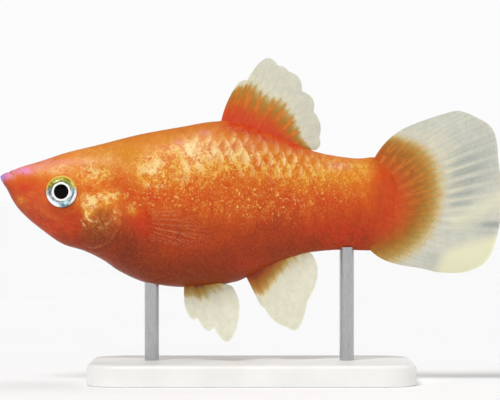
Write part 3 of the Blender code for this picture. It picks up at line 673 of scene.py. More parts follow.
# Rings round the eye: each one's distance from its middle, height and half width
EYE_RIDGES = ((1.95, 0.04, 0.14), (2.4, 0.022, 0.1), (2.75, 0.018, 0.1))

# The fleshy pad that carries the breast fin, and the gap in the scales round it
PAD_CENTRE = (15.7, -5.1)
PAD_GAP_CENTRE = (15.9, -5.1)

# Where scales start on the nape, how much farther back they do on the cheek, where they end on the
# tail, and how wide the bare skin's edge is
NAPE_SCALES = 8.6
CHEEK_BARE = 4.0
TAIL_SCALES = 43.3
SCALED_EDGE = 0.8

# How far the head's parts stand out or go in, where folds lie outside the gill cover's edge, the
# eye socket's radius, and the ridges below the upright fins
GILL_RISE = 0.11
GILL_SLIT_DEPTH = 0.07
GILL_FOLDS = (0.5, 0.95)
FOLD_RISE = 0.035
SOCKET_RADIUS = 1.72
LIP_RISE = 0.035
MOUTH_DEPTH = 0.07
NOSTRIL_RIM = 0.03
NOSTRIL_DEPTH = 0.09
PAD_RISE = 0.14
BACK_RIDGE = (23.9, 34.2)
BACK_RIDGE_RISE = 0.12
VENT_RIDGE = 26.6
VENT_RIDGE_RISE = 0.1


def gill_place(x, z):
    """The distance out from the gill cover's edge, and how far behind and above its centre this is."""
    cosine, sine = math.cos(GILL_TILT), math.sin(GILL_TILT)
    dx, dz = x - GILL_CENTRE[0], z - GILL_CENTRE[1]
    behind = cosine * dx - sine * dz
    above = sine * dx + cosine * dz
    length = np.where(behind > 0, GILL_REAR, GILL_FRONT)
    height = np.where(above > 0, GILL_UP, GILL_DOWN)
    reach = (np.hypot(behind / length, above / height) - 1) * (length + height) / 2
    return reach, behind, above


def line_distance(x, z, line):
    """How far a point is from a line in side view, and its share along the line."""
    line = np.array(line)
    best = np.full(x.shape, 9.0)
    share = np.zeros(x.shape)
    for i in range(len(line) - 1):
        start, along = line[i], line[i + 1] - line[i]
        t = ((x - start[0]) * along[0] + (z - start[1]) * along[1]) / (along @ along)
        t = np.clip(t, 0, 1)
        away = np.hypot(x - start[0] - t * along[0], z - start[1] - t * along[1])
        nearer = away < best
        best = np.where(nearer, away, best)
        share = np.where(nearer, (i + t) / (len(line) - 1), share)
    return best, share


def scaled_share(points):
    """1 where scales cover the skin, 0 on the bare head, eased between."""
    x, z = points[..., 0], points[..., 2]
    start = NAPE_SCALES + CHEEK_BARE * smooth_step((1.6 - z) / 3.2)
    end = TAIL_SCALES - 0.05 * (z - TAIL_TIP_Z) ** 2
    pad = np.hypot((x - PAD_GAP_CENTRE[0]) / 1.0, (z - PAD_GAP_CENTRE[1]) / 1.5)
    share = smooth_step((x - start) / SCALED_EDGE) * smooth_step((end - x) / SCALED_EDGE)
    return share * smooth_step((gill_place(x, z)[0] - 0.15) / 0.3) * smooth_step((pad - 0.9) / 0.3)


def relief(points):
    """How far the skin stands out from the solids' surface, and the head's markings there: its painted
    glints on the gill cover, and painted shade in the mouth's groove, the gill slit, the nostrils and
    round the eye's socket.
    """
    x, y, z = np.moveaxis(points, -1, 0)
    side = smooth_step((np.abs(y) - 0.5) / 0.8)
    reach, behind, above = gill_place(x, z)
    rear = side * smooth_step((behind + 0.9) / 2.0) * smooth_step((1.9 - above) / 1.2)
    slit = rear * hump(reach - 0.12, 0.1)
    gilt = rear * hump(reach + 0.12, 0.18) * smooth_step((behind + 1.0) / 2)
    out = GILL_RISE * rear * smooth_step(0.4 - reach / 0.3) * smooth_step(1.6 + reach)
    out -= GILL_SLIT_DEPTH * slit
    lower = side * smooth_step((-1.0 - above) / 1.5)
    out += FOLD_RISE * lower * sum(hump(reach - place, 0.12) for place in GILL_FOLDS)

    eye = np.hypot(x - EYE_CENTRE[0], z - EYE_CENTRE[1])
    out -= side * smooth_step((SOCKET_RADIUS - eye) / 0.25)
    for distance, height, width in EYE_RIDGES:
        out += side * height * hump(eye - distance, width)
    socket = side * hump(eye - 1.74, 0.07)
    orbit = 0.5 * side * hump(eye - 1.8, 0.07) * smooth_step((z - EYE_CENTRE[1]) / 0.9)

    away, down = line_distance(x, z, MOUTH_LINE)
    cut = hump(away, 0.07) * (1 - 0.75 * smooth_step(down))
    lips = (1 - smooth_step((x - 2.0) / 0.5)) * smooth_step((z + 1.2) / 0.9)
    out += LIP_RISE * lips * hump(away - 0.24, 0.15) - MOUTH_DEPTH * cut
    pits = np.zeros_like(x)
    for centre_x, centre_z in NOSTRILS:
        ring = np.hypot(x - centre_x, z - centre_z)
        pits += side * hump(ring, 0.11)
        out += side * (NOSTRIL_RIM * hump(ring - 0.24, 0.08) - NOSTRIL_DEPTH * hump(ring, 0.12))

    # The breast fin's pad, and low ridges that carry the back fin and the vent fin
    pad = np.hypot((x - PAD_CENTRE[0]) / 0.9, (z - PAD_CENTRE[1]) / 1.4)
    out += PAD_RISE * side * smooth_step(1.25 - pad)
    ridge = smooth_step((x - BACK_RIDGE[0]) / 1.2) * smooth_step((BACK_RIDGE[1] - x) / 1.4)
    out += BACK_RIDGE_RISE * ridge * hump(y, 0.55) * (z > 0)
    out += VENT_RIDGE_RISE * hump(x - VENT_RIDGE, 0.8) * hump(y, 0.5) * (z < -6)

    scaled = scaled_share(points)
    out -= SKIN_BARE_INSET * (1 - scaled) + SKIN_SCALED_INSET * scaled
    # Painted shade in the mouth's groove, the gill slit, the nostrils and at the eye socket's edge
    recess_shade = np.clip(0.55 * cut + 0.1 * slit + 0.08 * pits + 0.2 * socket, 0, 1)
    # Painted glints along the lines on the gill cover
    flashes = [strength * hump(line_distance(x, z, line)[0], width) for line, width, strength in GILL_GLINTS]
    return out, {"recess_shade": recess_shade, "gilt": gilt, "orbit": orbit, "gill_glint": side * np.max(flashes, axis=0)}


# Skin

SKIN_SIDES = 288

# How many rings to a millimetre along the body, and the last ones before each tip
RING_DENSITY = ((0.0, 26.0), (2.8, 22.0), (4.5, 11.0), (13.5, 10.0), (17.0, 5.5), (44.9, 5.5))
SNOUT_RINGS = (0.0004, 0.003, 0.01)
TAIL_TIP_RINGS = (0.09, 0.03, 0.006)


def ring_places():
    """The x of each ring of skin, closest at the mouth, close on the head and wider behind."""
    x = np.linspace(0, FLESH_LENGTH, 4000)
    density = smooth_curve(RING_DENSITY)(x)
    count = np.concatenate([[0], np.cumsum((density[1:] + density[:-1]) / 2 * np.diff(x))])
    places = np.interp(np.arange(int(count[-1])), count, x)
    tail = FLESH_LENGTH - np.array(TAIL_TIP_RINGS)
    inner = places[(places > SNOUT_RINGS[-1] + 0.01) & (places < tail[0] - 0.03)]
    return np.concatenate([SNOUT_RINGS, inner, tail])


def map_corners(*pairs):
    """The places on a map of many faces' corners, from the u and v of each corner."""
    numbers = np.broadcast_arrays(*(number for pair in pairs for number in pair))
    return np.stack(numbers, -1).reshape(-1, 2)


def make_skin(material):
    """One skin from the snout to the tail fin's root, with the head's relief."""
    along = ring_places()
    angles = np.linspace(-math.pi, math.pi, SKIN_SIDES, endpoint=False) - math.pi / 2
    x, angle = grid(along, angles)
    base = flesh_points(x, angle)
    out, head_values = relief(base)
    out = out * smooth_step(x / 0.25) * smooth_step((FLESH_LENGTH - x) / 0.5)
    points = base + flesh_normals(x, angle) * out[..., None]
    tips = [[0.0, 0.0, 0.0], [FLESH_LENGTH, 0.0, TAIL_TIP_Z]]
    points = np.concatenate([points.reshape(-1, 3), tips])
    values = markings(points)
    for key, numbers in head_values.items():
        values[key] = np.append(numbers, [0, 0])

    share = along / FLESH_LENGTH
    before, after = share[:-1, None], share[1:, None]
    edges = np.arange(SKIN_SIDES + 1) / SKIN_SIDES
    low, high = edges[:-1], edges[1:]
    uvs = np.concatenate([
        map_corners((before, low), (before, high), (after, high), (after, low)),
        map_corners((0, high), (share[0], high), (share[0], low)),
        map_corners((1, low), (share[-1], low), (share[-1], high)),
    ])
    faces = pointed_tube_faces(len(along), SKIN_SIDES)
    replaced = ("head", "trunk", "tail_stalk", "gill_cover_left", "gill_cover_right")
    make_piece("skin", points, faces, material, replaced, uvs, values)


# Scales

# How far apart scales are along a row, and rows round the body, at x
SCALE_PITCH = smooth_curve(
    ((8.0, 1.15), (14.0, 1.32), (22.0, 1.42), (30.0, 1.34), (40.0, 1.1), (44.9, 0.9))
)
ROW_PITCH = smooth_curve(((8.0, 1.35), (14.0, 1.5), (30.0, 1.45), (40.0, 1.15), (44.9, 1.0)))

# The rows of scales, counted from one at this share of the way down the side, the limits of the
# middles of scales along the body, and how far forward a plate may reach
SCALE_ROWS = range(-9, 12)
LATERAL_SHARE = 0.46
FIRST_SCALE = 7.6
LAST_SCALE = 43.9
SCALES_FROM = 7.0

# Points across and along a scale, its length and half width in pitches, how far its rear edge
# stands out where it is proud or flush, and how thick it is
SCALE_ACROSS = 13
SCALE_ALONG = 9
SCALE_LENGTH = 1.75
SCALE_HALF = 1.04
SCALE_RISE = 0.05
FLUSH_RISE = 0.01
SCALE_THICKNESS = 0.045

# Where along the body scales start to stand proud and lie flush again, each with the length of the
# change, and the levels of the flank that they are proud between, from 0 at the belly to 1
PROUD_START = 11.5
PROUD_START_SPAN = 7.0
PROUD_END = 43.4
PROUD_END_SPAN = 3.0
PROUD_LEVEL = 0.42
RIDGE_LEVEL = 0.86

# Each scale's cell on the skin's map: where the first is, and the cells' share of a side's height
CELLS_START = 0.03
CELLS_SHARE = 0.44
CELL_LENGTH = 0.42
CELL_HEIGHT = 0.34

# How many places along the body and round one side the table of arc lengths has
TABLE_ROWS = 420
TABLE_STEPS = 241


def arc_table():
    """For many places along the body, the arc length down one side from the back to each angle."""
    x = np.linspace(SCALES_FROM, FLESH_LENGTH - 0.05, TABLE_ROWS)
    angle = np.linspace(math.pi / 2, -math.pi / 2, TABLE_STEPS)
    points = body_points(*grid(x, angle))
    steps = np.linalg.norm(np.diff(points[..., 1:], axis=1), axis=-1)
    arcs = np.concatenate([np.zeros((len(x), 1)), np.cumsum(steps, axis=1)], axis=1)
    return x, angle, arcs


TABLE_X, TABLE_ANGLE, TABLE_ARCS = arc_table()


def angle_at(x, arc):
    """The angle on the right side that lies arc millimetres down from the back at x."""
    rows = np.interp(x, TABLE_X, np.arange(len(TABLE_X)))
    low = np.floor(rows).astype(int)
    high = np.minimum(low + 1, len(TABLE_X) - 1)
    share = rows - low
    found = np.empty_like(x)
    for i in range(len(x)):
        arcs = TABLE_ARCS[low[i]] * (1 - share[i]) + TABLE_ARCS[high[i]] * share[i]
        found[i] = np.interp(arc[i], arcs, TABLE_ANGLE)
    return found


def half_girth(x):
    """The arc length down one side of the body from the back to the belly."""
    return np.interp(x, TABLE_X, TABLE_ARCS[:, -1])


def scale_seats():
    """(x, arc, pitch, row height) of each scale's middle on one side, in staggered rows."""
    seats = []
    for row in SCALE_ROWS:
        x = FIRST_SCALE
        while x < LAST_SCALE:
            pitch, height = float(SCALE_PITCH(x)), float(ROW_PITCH(x))
            here = x + (pitch / 2 if row % 2 else 0)
            x += pitch
            total = half_girth(here)
            arc = LATERAL_SHARE * total + row * height
            if -0.2 * height < arc < total + 0.1 * height:
                place = np.array([here])
                point = body_points(place, angle_at(place, np.array([arc])))
                if scaled_share(point)[0] > 0.8:
                    seats.append((here, arc, pitch, height))
    return np.array(seats)


def make_scales(name, side, material):
    """Overlapping plates, each with its root sunk in the skin and its rounded rear edge just proud."""
    seats = scale_seats()
    seat_x, seat_arc, pitch, row_height = seats.T[..., None]
    skew, shift, lift, gleam = rng.normal(0, 1, (len(seats), 4)).T[..., None]
    a, b = (v.ravel() for v in grid(np.linspace(0, 1, SCALE_ALONG), np.linspace(-1, 1, SCALE_ACROSS)))
    forward = SCALE_LENGTH * pitch * (a * (1 - 0.3 * b**2) - 0.62)
    across = SCALE_HALF * row_height * b * (0.82 + 0.18 * np.sin(math.pi * np.minimum(a * 0.75, 0.5)))
    turn = 0.035 * skew
    x = np.clip(seat_x + forward + 0.03 * shift + turn * across, SCALES_FROM, FLESH_LENGTH - 0.12)
    arc = seat_arc + across - turn * forward
    angle = angle_at(x.ravel(), np.abs(arc).ravel()).reshape(x.shape)
    angle = np.where(arc < 0, math.pi - angle, angle)
    if side < 0:
        angle = math.pi - angle
    base, normals = flesh_points(x, angle), flesh_normals(x, angle)

    # Scales stand proud on the upper flank and lie nearly flush below, on the ridge and at both ends
    level = markings(base)["height"]
    proud = 1 - 0.8 * smooth_step((PROUD_LEVEL - level) / 0.3)
    proud *= 1 - smooth_step((level - RIDGE_LEVEL) / 0.1)
    proud *= smooth_step((PROUD_END - x) / PROUD_END_SPAN)
    proud *= smooth_step((x - PROUD_START) / PROUD_START_SPAN)
    rise = (SCALE_RISE * (1 + 0.16 * lift) - FLUSH_RISE) * proud + FLUSH_RISE
    sunk = 0.06 * proud + 0.006
    height = (sunk + rise) * smooth_step(a / 0.9) - sunk - (0.045 * proud + 0.005) * b**4
    height += 0.004 - SKIN_SCALED_INSET
    thickness = SCALE_THICKNESS * (1 - 0.5 * a**3)
    layers = [base + normals * h[..., None] for h in (height, height - thickness)]
    points = np.concatenate(layers, axis=1)
    one = slab_faces(SCALE_ALONG, SCALE_ACROSS, flip=side > 0)
    faces = (one + 2 * len(a) * np.arange(len(seats))[:, None, None]).reshape(-1, 4)

    # Each scale has a cell of its own at its place on the skin's map, left side first
    total = half_girth(seat_x)
    cell_v = CELLS_START + CELLS_SHARE * seat_arc / total
    if side > 0:
        cell_v = 1 - cell_v
    tall = CELL_HEIGHT * row_height / total
    u = (seat_x + CELL_LENGTH * pitch * (a - 0.5)) / FLESH_LENGTH
    cells = [np.stack([u, cell_v + tall * (b / 2 + aside)], -1) for aside in (-0.01, 0.01)]
    uvs = np.concatenate(cells, axis=1).reshape(-1, 2)[faces.ravel()]

    # Each plate's painted glint near its rear edge, the painted shade in the pocket in front of it, how
    # strong its glint is, and its random tone
    middle = 1 - smooth_step((np.abs(b) - 0.3) / 0.5)
    values = {
        "rim": smooth_step((a - 0.82) / 0.1) * middle,
        "pocket_shade": hump(a - 0.6, 0.15) * middle,
        "glint": np.clip(0.7 + 0.24 * gleam, 0.1, 1.0),
        "tone": shift * (0.15 + 0.85 * proud),
    }
    values = {key: np.tile(np.broadcast_to(numbers, x.shape), 2) for key, numbers in values.items()}
    values.update(markings(points))
    make_piece(name, points.reshape(-1, 3), faces.tolist(), material, (), uvs, values, sharp=50)


# Fins

# Each fin's root and edge in side view from the first ray to the last, how far those two rays bow,
# the number of rays with where each forks and how broad it is, how fleshy the root is, how far it
# waves, and the share of the way out where its pale border starts and how far that spreads
FORKS = (0.3, 0.55, 0.75)
DORSAL = {
    "root": ((24.5, 5.5), (28.9, 4.3), (32.9, 2.9)),
    "edge": (
        (26.05, 9.75), (26.7, 10.6), (27.55, 10.8), (29.45, 13.15), (30.95, 12.4), (31.65, 12.25),
        (32.1, 11.75), (33.3, 11.0), (33.6, 9.55), (34.8, 8.7), (34.9, 7.3), (35.65, 5.95),
        (35.55, 4.4), (35.65, 3.55), (35.1, 3.0),
    ),
    "bow": (0.25, -0.1), "lobed": True, "rays": 10, "forks": FORKS, "breadth": 1.0,
    "fleshy": 0.3, "wave": 0.25,
    "border": (
        (0.0, 0.9), (0.06, 0.86), (0.12, 0.79), (0.21, 0.6), (0.29, 0.53), (0.37, 0.51), (0.46, 0.53),
        (0.54, 0.56), (0.63, 0.52), (0.71, 0.49), (0.79, 0.46), (0.88, 0.42), (0.95, 0.55), (1.0, 0.75),
    ),
    "spread": ((0.0, 0.3), (0.2, 0.45), (1.0, 0.5)),
}
ANAL = {
    "root": ((26.95, -10.2), (31.0, -8.6), (33.9, -7.6)),
    "edge": (
        (28.95, -14.15), (29.2, -14.45), (29.45, -14.55), (30.55, -16.0), (31.95, -16.7),
        (32.9, -17.05), (33.55, -16.3), (34.0, -15.0), (34.25, -13.8), (35.35, -11.0), (34.8, -8.7),
    ),
    "bow": (0.0, 0.1), "lobed": True, "rays": 9, "forks": FORKS, "breadth": 1.0,
    "fleshy": 0.3, "wave": -0.25,
    "border": (
        (0.0, 0.64), (0.12, 0.55), (0.21, 0.43), (0.29, 0.34), (0.37, 0.26), (0.54, 0.22),
        (0.71, 0.16), (0.85, 0.16), (0.93, 0.3), (1.0, 0.5),
    ),
    "spread": ((0.0, 0.55), (0.3, 0.4), (0.5, 0.45), (0.7, 0.9), (1.0, 1.1)),
}
CAUDAL = {
    "root": ((41.1, 0.9), (42.6, -0.4), (43.3, -3.0), (42.6, -5.8), (40.95, -7.85)),
    "edge": (
        (47.5, 6.3), (49.3, 7.0), (51.2, 7.38), (53.2, 6.6), (54.6, 5.7), (55.25, 4.3), (55.5, 1.5),
        (56.0, -2.0), (55.6, -5.2), (55.1, -7.4), (54.3, -9.2), (53.0, -10.2), (51.0, -10.7),
        (48.5, -10.6),
    ),
    "bow": (1.12, 0.7), "lobed": False, "rays": 15, "forks": (0.05, 0.35, 0.65), "breadth": 1.0,
    "fleshy": 0.2, "wave": 0.55,
}
PELVIC = {
    "root": ((20.6, -11.4), (22.1, -11.5), (23.7, -11.2)),
    "edge": (
        (20.6, -14.3), (21.3, -15.65), (21.95, -15.55), (23.05, -16.95), (23.85, -16.6),
        (25.35, -18.2), (26.45, -16.3), (26.6, -14.1), (25.85, -12.2),
    ),
    "bow": (-0.1, 0.15), "lobed": True, "rays": 7, "forks": FORKS, "breadth": 1.0, "fleshy": 0.1,
    "border": (
        (0.0, 0.52), (0.12, 0.39), (0.21, 0.32), (0.35, 0.33), (0.44, 0.24), (0.6, 0.22), (0.75, 0.25),
        (0.88, 0.34), (1.0, 0.5),
    ),
    "spread": ((0.0, 0.5), (0.6, 0.5), (0.75, 0.9), (1.0, 1.0)),
}
PECTORAL = {
    "root": ((15.9, -3.9), (15.8, -5.1), (16.0, -6.3)),
    "edge": (
        (19.4, -3.4), (21.4, -4.1), (23.0, -5.2), (23.7, -6.5), (22.9, -7.5), (21.1, -7.9),
        (19.1, -7.5),
    ),
    "bow": (0.2, 0.2), "lobed": False, "rays": 10, "forks": (0.45, 2.0, 3.0), "breadth": 1.5,
    "fleshy": 0.1,
}
FIRST_BOW_SHAPE = 4.0
LAST_BOW_SHAPE = 6.75
FORK_SPREADS = (0.25, 0.125, 0.0625)
COLUMNS_PER_RAY = 18
FIN_ROWS = 84

# Upright fins wave; the belly fins splay down and the breast fins stand off on a stalk
WAVE_TURNS = 2.4 * math.pi
WAVE_LAG = 0.6
PELVIC_ROOT_Y = 1.0
PELVIC_SPLAY = math.tan(math.radians(14))
PECTORAL_SINK = 0.55
PECTORAL_STALK = 1.35
PECTORAL_STALK_SHARE = 0.3
PECTORAL_SPLAY = math.tan(math.radians(15))

# Half thicknesses of the finished fins, and how much shorter the membrane is than the ray tips
MEMBRANE_HALF = 0.05
RAY_HALF_ROOT = 0.07
RAY_HALF_EDGE = 0.004
FRINGE = 0.002

# The tail fin's grey streaks, the areas that they and a grey haze lie in, as patches, a pale band
# across it, and the corner of its cream part with how that part's top and front edges slope
STREAKS = 21
SHADE = (
    (51.6, 0.6, 2.2, 2.4, 0.9), (51.1, -2.6, 1.7, 2.4, 1.1), (49.7, -6.0, 0.9, 1.0, 0.35),
    (54.8, -5.6, 1.5, 0.7, 1.3),
)
HAZE = ((53.8, 2.6, 3.0, 3.6, 0.45), (47.9, -8.9, 1.3, 1.0, 0.45), (54.9, -5.5, 1.2, 0.6, 0.35))
PALE_BAND = ((56.2, -2.1), (50.9, -4.8))
CREAM_CORNER = (49.4, -8.0)
CREAM_SLOPES = (0.29, 0.4)

# Each fin's finish: its root's colours as stops over its zones, and low and high on the fish, the
# colour and strength of rays in the coloured part and in the pale part, the two pale colours between
# rays, how clear it is there, how far colour runs out along rays, and how frayed its zones are
FINISHES = {
    "tail_fin": {
        "stops": TAIL_STOPS, "roots": TAIL_ROOTS, "glow": ((222, 130, 42), 0.5),
        "membrane": ((208, 209, 193), (217, 217, 202)), "ray": ((230, 227, 204), 0.15),
        "clear": 0.16, "lead": 0.008, "fray": 0.05, "shaded": True,
    },
    "back_fin": {
        "stops": (
            (0.0, (204, 76, 28)), (0.22, (200, 80, 22)), (0.31, (190, 98, 26)), (0.38, (174, 114, 36)),
            (0.45, (168, 132, 54)), (0.52, (188, 168, 106)), (0.58, (208, 200, 158)), (0.66, PALE_FIN),
        ),
        "roots": ((206, 66, 32),) * 2, "glow": ((230, 124, 42), 0.8),
        "membrane": ((212, 212, 194), (222, 220, 200)), "ray": ((230, 227, 206), 0.22),
        "clear": 0.2, "lead": 0.05, "fray": 0.1,
    },
    "vent_fin": {
        "stops": (
            (0.0, (146, 52, 26)), (0.12, (148, 62, 26)), (0.2, (162, 84, 32)), (0.3, (178, 110, 40)),
            (0.4, (182, 140, 62)), (0.5, (206, 180, 112)), (0.57, (226, 214, 160)),
            (0.68, (234, 231, 206)),
        ),
        "roots": ((144, 48, 24),) * 2, "glow": ((206, 112, 56), 0.4),
        "membrane": ((234, 232, 208), (242, 240, 218)), "ray": ((244, 241, 220), 0.2),
        "clear": 0.16, "lead": 0.03, "fray": 0.08,
    },
    "belly_fin": {
        "stops": (
            (0.0, (124, 48, 22)), (0.14, (132, 70, 28)), (0.24, (158, 112, 46)), (0.34, (174, 140, 70)),
            (0.44, (188, 170, 102)), (0.54, (208, 200, 150)), (0.66, (220, 214, 178)),
            (0.82, (232, 230, 206)),
        ),
        "roots": ((118, 46, 22),) * 2, "glow": ((190, 140, 76), 0.3),
        "membrane": ((232, 230, 208), (240, 238, 218)), "ray": ((242, 240, 220), 0.2),
        "clear": 0.16, "lead": 0.04, "fray": 0.1,
    },
}


def span_at(points, share, spans):
    """Which of the spans between points holds each share of their length, and how far into it."""
    lengths = running_lengths(points)
    at = share * lengths[-1]
    i = np.clip(np.searchsorted(lengths, at, side="right") - 1, 0, spans - 1)
    return lengths, i, (at - lengths[i])[..., None]


def path_at(points, share):
    """A smooth curve through points in side view, share 0 to 1 of its length."""
    points = np.array(points)
    last = len(points) - 1
    lengths, i, into = span_at(points, share, last)
    span = (lengths[i + 1] - lengths[i])[..., None]
    t = into / span
    before, after = np.maximum(i - 1, 0), np.minimum(i + 2, last)
    lead = (points[i + 1] - points[before]) / (lengths[i + 1] - lengths[before])[..., None] * span
    tail = (points[after] - points[i]) / (lengths[after] - lengths[i])[..., None] * span
    path = points[i] + t * t * (3 - 2 * t) * (points[i + 1] - points[i])
    return path + t * (1 - t) ** 2 * lead + t * t * (t - 1) * tail


def lobed_path_at(points, share):
    """A scalloped edge: points are a notch, a crest, a notch and so on; each crest is a round lobe."""
    points = np.array(points)
    notches = points[::2]
    lengths, i, into = span_at(notches, share, len(notches) - 1)
    t = into / (lengths[i + 1] - lengths[i])[..., None]
    start, crest, end = points[2 * i], points[2 * i + 1], points[2 * i + 2]
    pull = 2 * crest - (start + end) / 2
    return start * (1 - t) ** 2 + 2 * pull * t * (1 - t) + end * t * t


def fin_surface(fin, u, v):
    """A fin's middle surface in side view: u from its first ray to its last, v from root to edge."""
    root = path_at(fin["root"], u)
    along = (lobed_path_at if fin["lobed"] else path_at)(fin["edge"], u) - root
    outward = np.stack([-along[..., 1], along[..., 0]], -1) / np.linalg.norm(along, axis=-1)[..., None]
    first, last = fin["bow"]
    leading = FIRST_BOW_SHAPE * first * np.maximum(1 - 2 * u, 0) * v * (1 - v)
    trailing = LAST_BOW_SHAPE * last * np.maximum(2 * u - 1, 0) * v * (1 - v) ** 2
    return root + v[..., None] * along + (leading - trailing)[..., None] * outward


def fin_lift(fin, side, u, v, x, z):
    """How far a fin's middle surface is from the fish's middle plane."""
    if fin is PELVIC:
        return side * (PELVIC_ROOT_Y + PELVIC_SPLAY * np.maximum(belly_line(x) - z, 0))
    if fin is PECTORAL:
        root_x, root_z = np.moveaxis(path_at(fin["root"], u), -1, 0)
        stalk = PECTORAL_STALK * smooth_step(v / PECTORAL_STALK_SHARE)
        return side * (flank_y(root_x, root_z) - PECTORAL_SINK + stalk + PECTORAL_SPLAY * (x - root_x))
    return fin["wave"] * v * np.sin(WAVE_TURNS * u + WAVE_LAG * v)


def fin_zone(fin, u, v, x, z):
    """A value that grows from a fin's root outward, and is 0.5 where its pale border starts."""
    if fin is CAUDAL:
        return tail_zone(x, z)
    if fin is PECTORAL:
        return v
    border, spread = smooth_curve(fin["border"])(u), smooth_curve(fin["spread"])(u)
    return 0.5 * np.where(v < border, v / border, 1 + (v - border) / spread)


def ray_strength(fin, u, v, breadth):
    """1 along each ray, which forks on its way out, and 0 on the membrane between."""
    place = u * (fin["rays"] - 1)
    whole = np.round(place)
    outer = (whole < 0.5) | (whole > fin["rays"] - 1.5)
    spreads = [
        np.where(outer, 0.0, spread * smooth_step((v - fork) / 0.35))
        for fork, spread in zip(fin["forks"], FORK_SPREADS)
    ]
    width = (0.13 * (1 - v) + 0.04) * breadth
    strength = np.zeros_like(u)
    for signs in np.ndindex(2, 2, 2):
        aside = sum((2 * sign - 1) * spread for sign, spread in zip(signs, spreads))
        strength = np.maximum(strength, hump(place - whole - aside, width))
    return strength


def tail_shading(u, v, x, z):
    """How grey the tail fin is between its rays, and how cream it is in its lower corner."""
    place = u * STREAKS
    gap = hump(np.abs(place - np.round(place)) - 0.5, 0.3)
    fine_gap = hump(np.abs(2 * place - np.round(2 * place)) - 0.5, 0.25)
    shade = patches(x, z, SHADE) * gap + patches(x, z, HAZE) * (0.6 + 0.4 * gap)
    shade += fine_gap * smooth_step((v - 0.3) / 0.2) * (0.06 + 0.12 * upper_share(z))
    behind, above = x - CREAM_CORNER[0], z - CREAM_CORNER[1]
    corner = smooth_step((CREAM_SLOPES[0] * behind - above) / 1.8 + 0.4)
    corner *= smooth_step((behind - CREAM_SLOPES[1] * above) / 1.8 + 0.4)
    cream = corner + 0.55 * hump(line_distance(x, z, PALE_BAND)[0], 0.95)
    return np.clip(shade, 0, 1), np.clip(cream, 0, 1)


def make_fin(name, fin, material, side=1):
    """A thin closed membrane with forked rays raised on both faces, its root thickened into the body."""
    columns = (fin["rays"] - 1) * COLUMNS_PER_RAY + 1
    v, u = grid(np.linspace(0, 1, FIN_ROWS), np.linspace(0, 1, columns))
    rays = ray_strength(fin, u, v, fin["breadth"])
    tips = ray_strength(fin, u, np.ones_like(v), 1.0)
    x, z = np.moveaxis(fin_surface(fin, u, v * (1 - FRINGE * (1 - tips) * v**3)), -1, 0)
    middle = np.stack([x, fin_lift(fin, side, u, v, x, z), z], -1)
    normals = np.cross(np.gradient(middle, axis=1), np.gradient(middle, axis=0))
    normals /= np.linalg.norm(normals, axis=-1, keepdims=True)

    ray_half = (RAY_HALF_ROOT * (1 - v) ** 2 + RAY_HALF_EDGE) * smooth_step(v / 0.25)
    half = (MEMBRANE_HALF + rays * ray_half) * (1 - 0.6 * smooth_step((v - 0.9) / 0.1))
    half += fin["fleshy"] * (1 - smooth_step(v / 0.22)) ** 1.5
    half *= 0.35 + 0.65 * smooth_step(np.minimum(u, 1 - u) * (columns - 1) / 6)
    points = np.stack([middle + normals * half[..., None], middle - normals * half[..., None]])
    faces = slab_faces(FIN_ROWS, columns)
    flat = np.stack([0.02 + 0.96 * u.ravel(), 0.02 + 0.46 * v.ravel()], -1)
    uvs = np.concatenate([flat, flat + [0, 0.5]])[faces.ravel()]
    values = {"out": v, "zone": fin_zone(fin, u, v, x, z), "ray": rays, "high": upper_share(z)}
    if fin is CAUDAL:
        values["shade"], values["cream"] = tail_shading(u, v, x, z)
    values = {key: np.tile(numbers.ravel(), 2) for key, numbers in values.items()}
    replaced = (name.replace("membrane", "fin"),)
    make_piece(name, points.reshape(-1, 3), faces.tolist(), material, replaced, uvs, values, sharp=60)


def fin_material(name, stops, roots, glow, membrane, ray, clear, lead, fray, shaded=False):
    """A fin whose root colours give way to a pale, clear border with pale rays."""
    s = Shader(name)
    zone, rays, out = s.attributes("zone", "ray", "out")
    soft = s.noise(0.8, 3.0, 0.6)
    fine = s.noise(0.22, 3.0, 0.65)
    level = zone + ((soft - 0.5) * fray + (fine - 0.5) * fray) - rays * lead
    broken = rays * soft.between(0.3, 0.6)
    lit = broken * level.between(0.16, 0.34) * level.between(0.54, 0.44) * glow[1]
    warm = broken * level.between(0.8, 0.56) * 0.36
    lines = rays * out.between(1.1, 0.5) * ray[1]
    if shaded:
        high, shade, cream = s.attributes("high", "shade", "cream")
        lit, warm, lines = lit * high, warm * high, lines * (1.0 - shade * 0.6)
    root = s.mix(lit, root_colour(s, level, stops, roots), glow[0])
    s.colour = s.mix(soft.between(0.4, 0.62), *membrane)
    if shaded:
        s.lay(shade, (168, 174, 168))
    s.lay(lines, ray[0])
    s.lay(warm, (236, 214, 146))
    s.lay(fine.between(0.5, 0.64) * 0.2, (236, 234, 216))
    if shaded:
        s.lay(cream, (240, 238, 204))
    rim = out.between(0.965, 0.995)
    opened = level.between(0.5, 0.75) * clear * (1.0 - rays * 0.08) * (1.0 - rim * 0.6)
    s.set(
        Base_Color=s.mix(level.between(0.5, 0.62), root, s.colour), Alpha=(1.0 - opened).clamped(),
        Roughness=soft * 0.2 + 0.35, Specular_IOR_Level=0.25,
        Subsurface_Weight=0.08, Subsurface_Scale=0.3 * MM,
    )
    s.bump(fine, 0.4, 0.01)
    return s.material


def breast_fin_material():
    """A nearly clear fan of pale rays on a saturated red root."""
    s = Shader("breast_fin")
    out, rays = s.attributes("out", "ray")
    soft = s.noise(0.5, 3.0, 0.6)
    root = (out + (soft - 0.5) * 0.3).between(0.36, 0.1)
    lines = rays * (out.between(1.05, 0.55) * soft.between(0.3, 0.6)) * 0.13
    s.set(
        Base_Color=s.mix(root, s.mix(rays, (204, 96, 50), (230, 150, 120)), (208, 58, 24)),
        Alpha=(root * 0.12 + (lines + 0.03)).clamped(), Roughness=soft * 0.2 + 0.3,
        Specular_IOR_Level=0.08,
    )
    s.bump(soft, 0.3, 0.01)
    return s.material


# Eyes

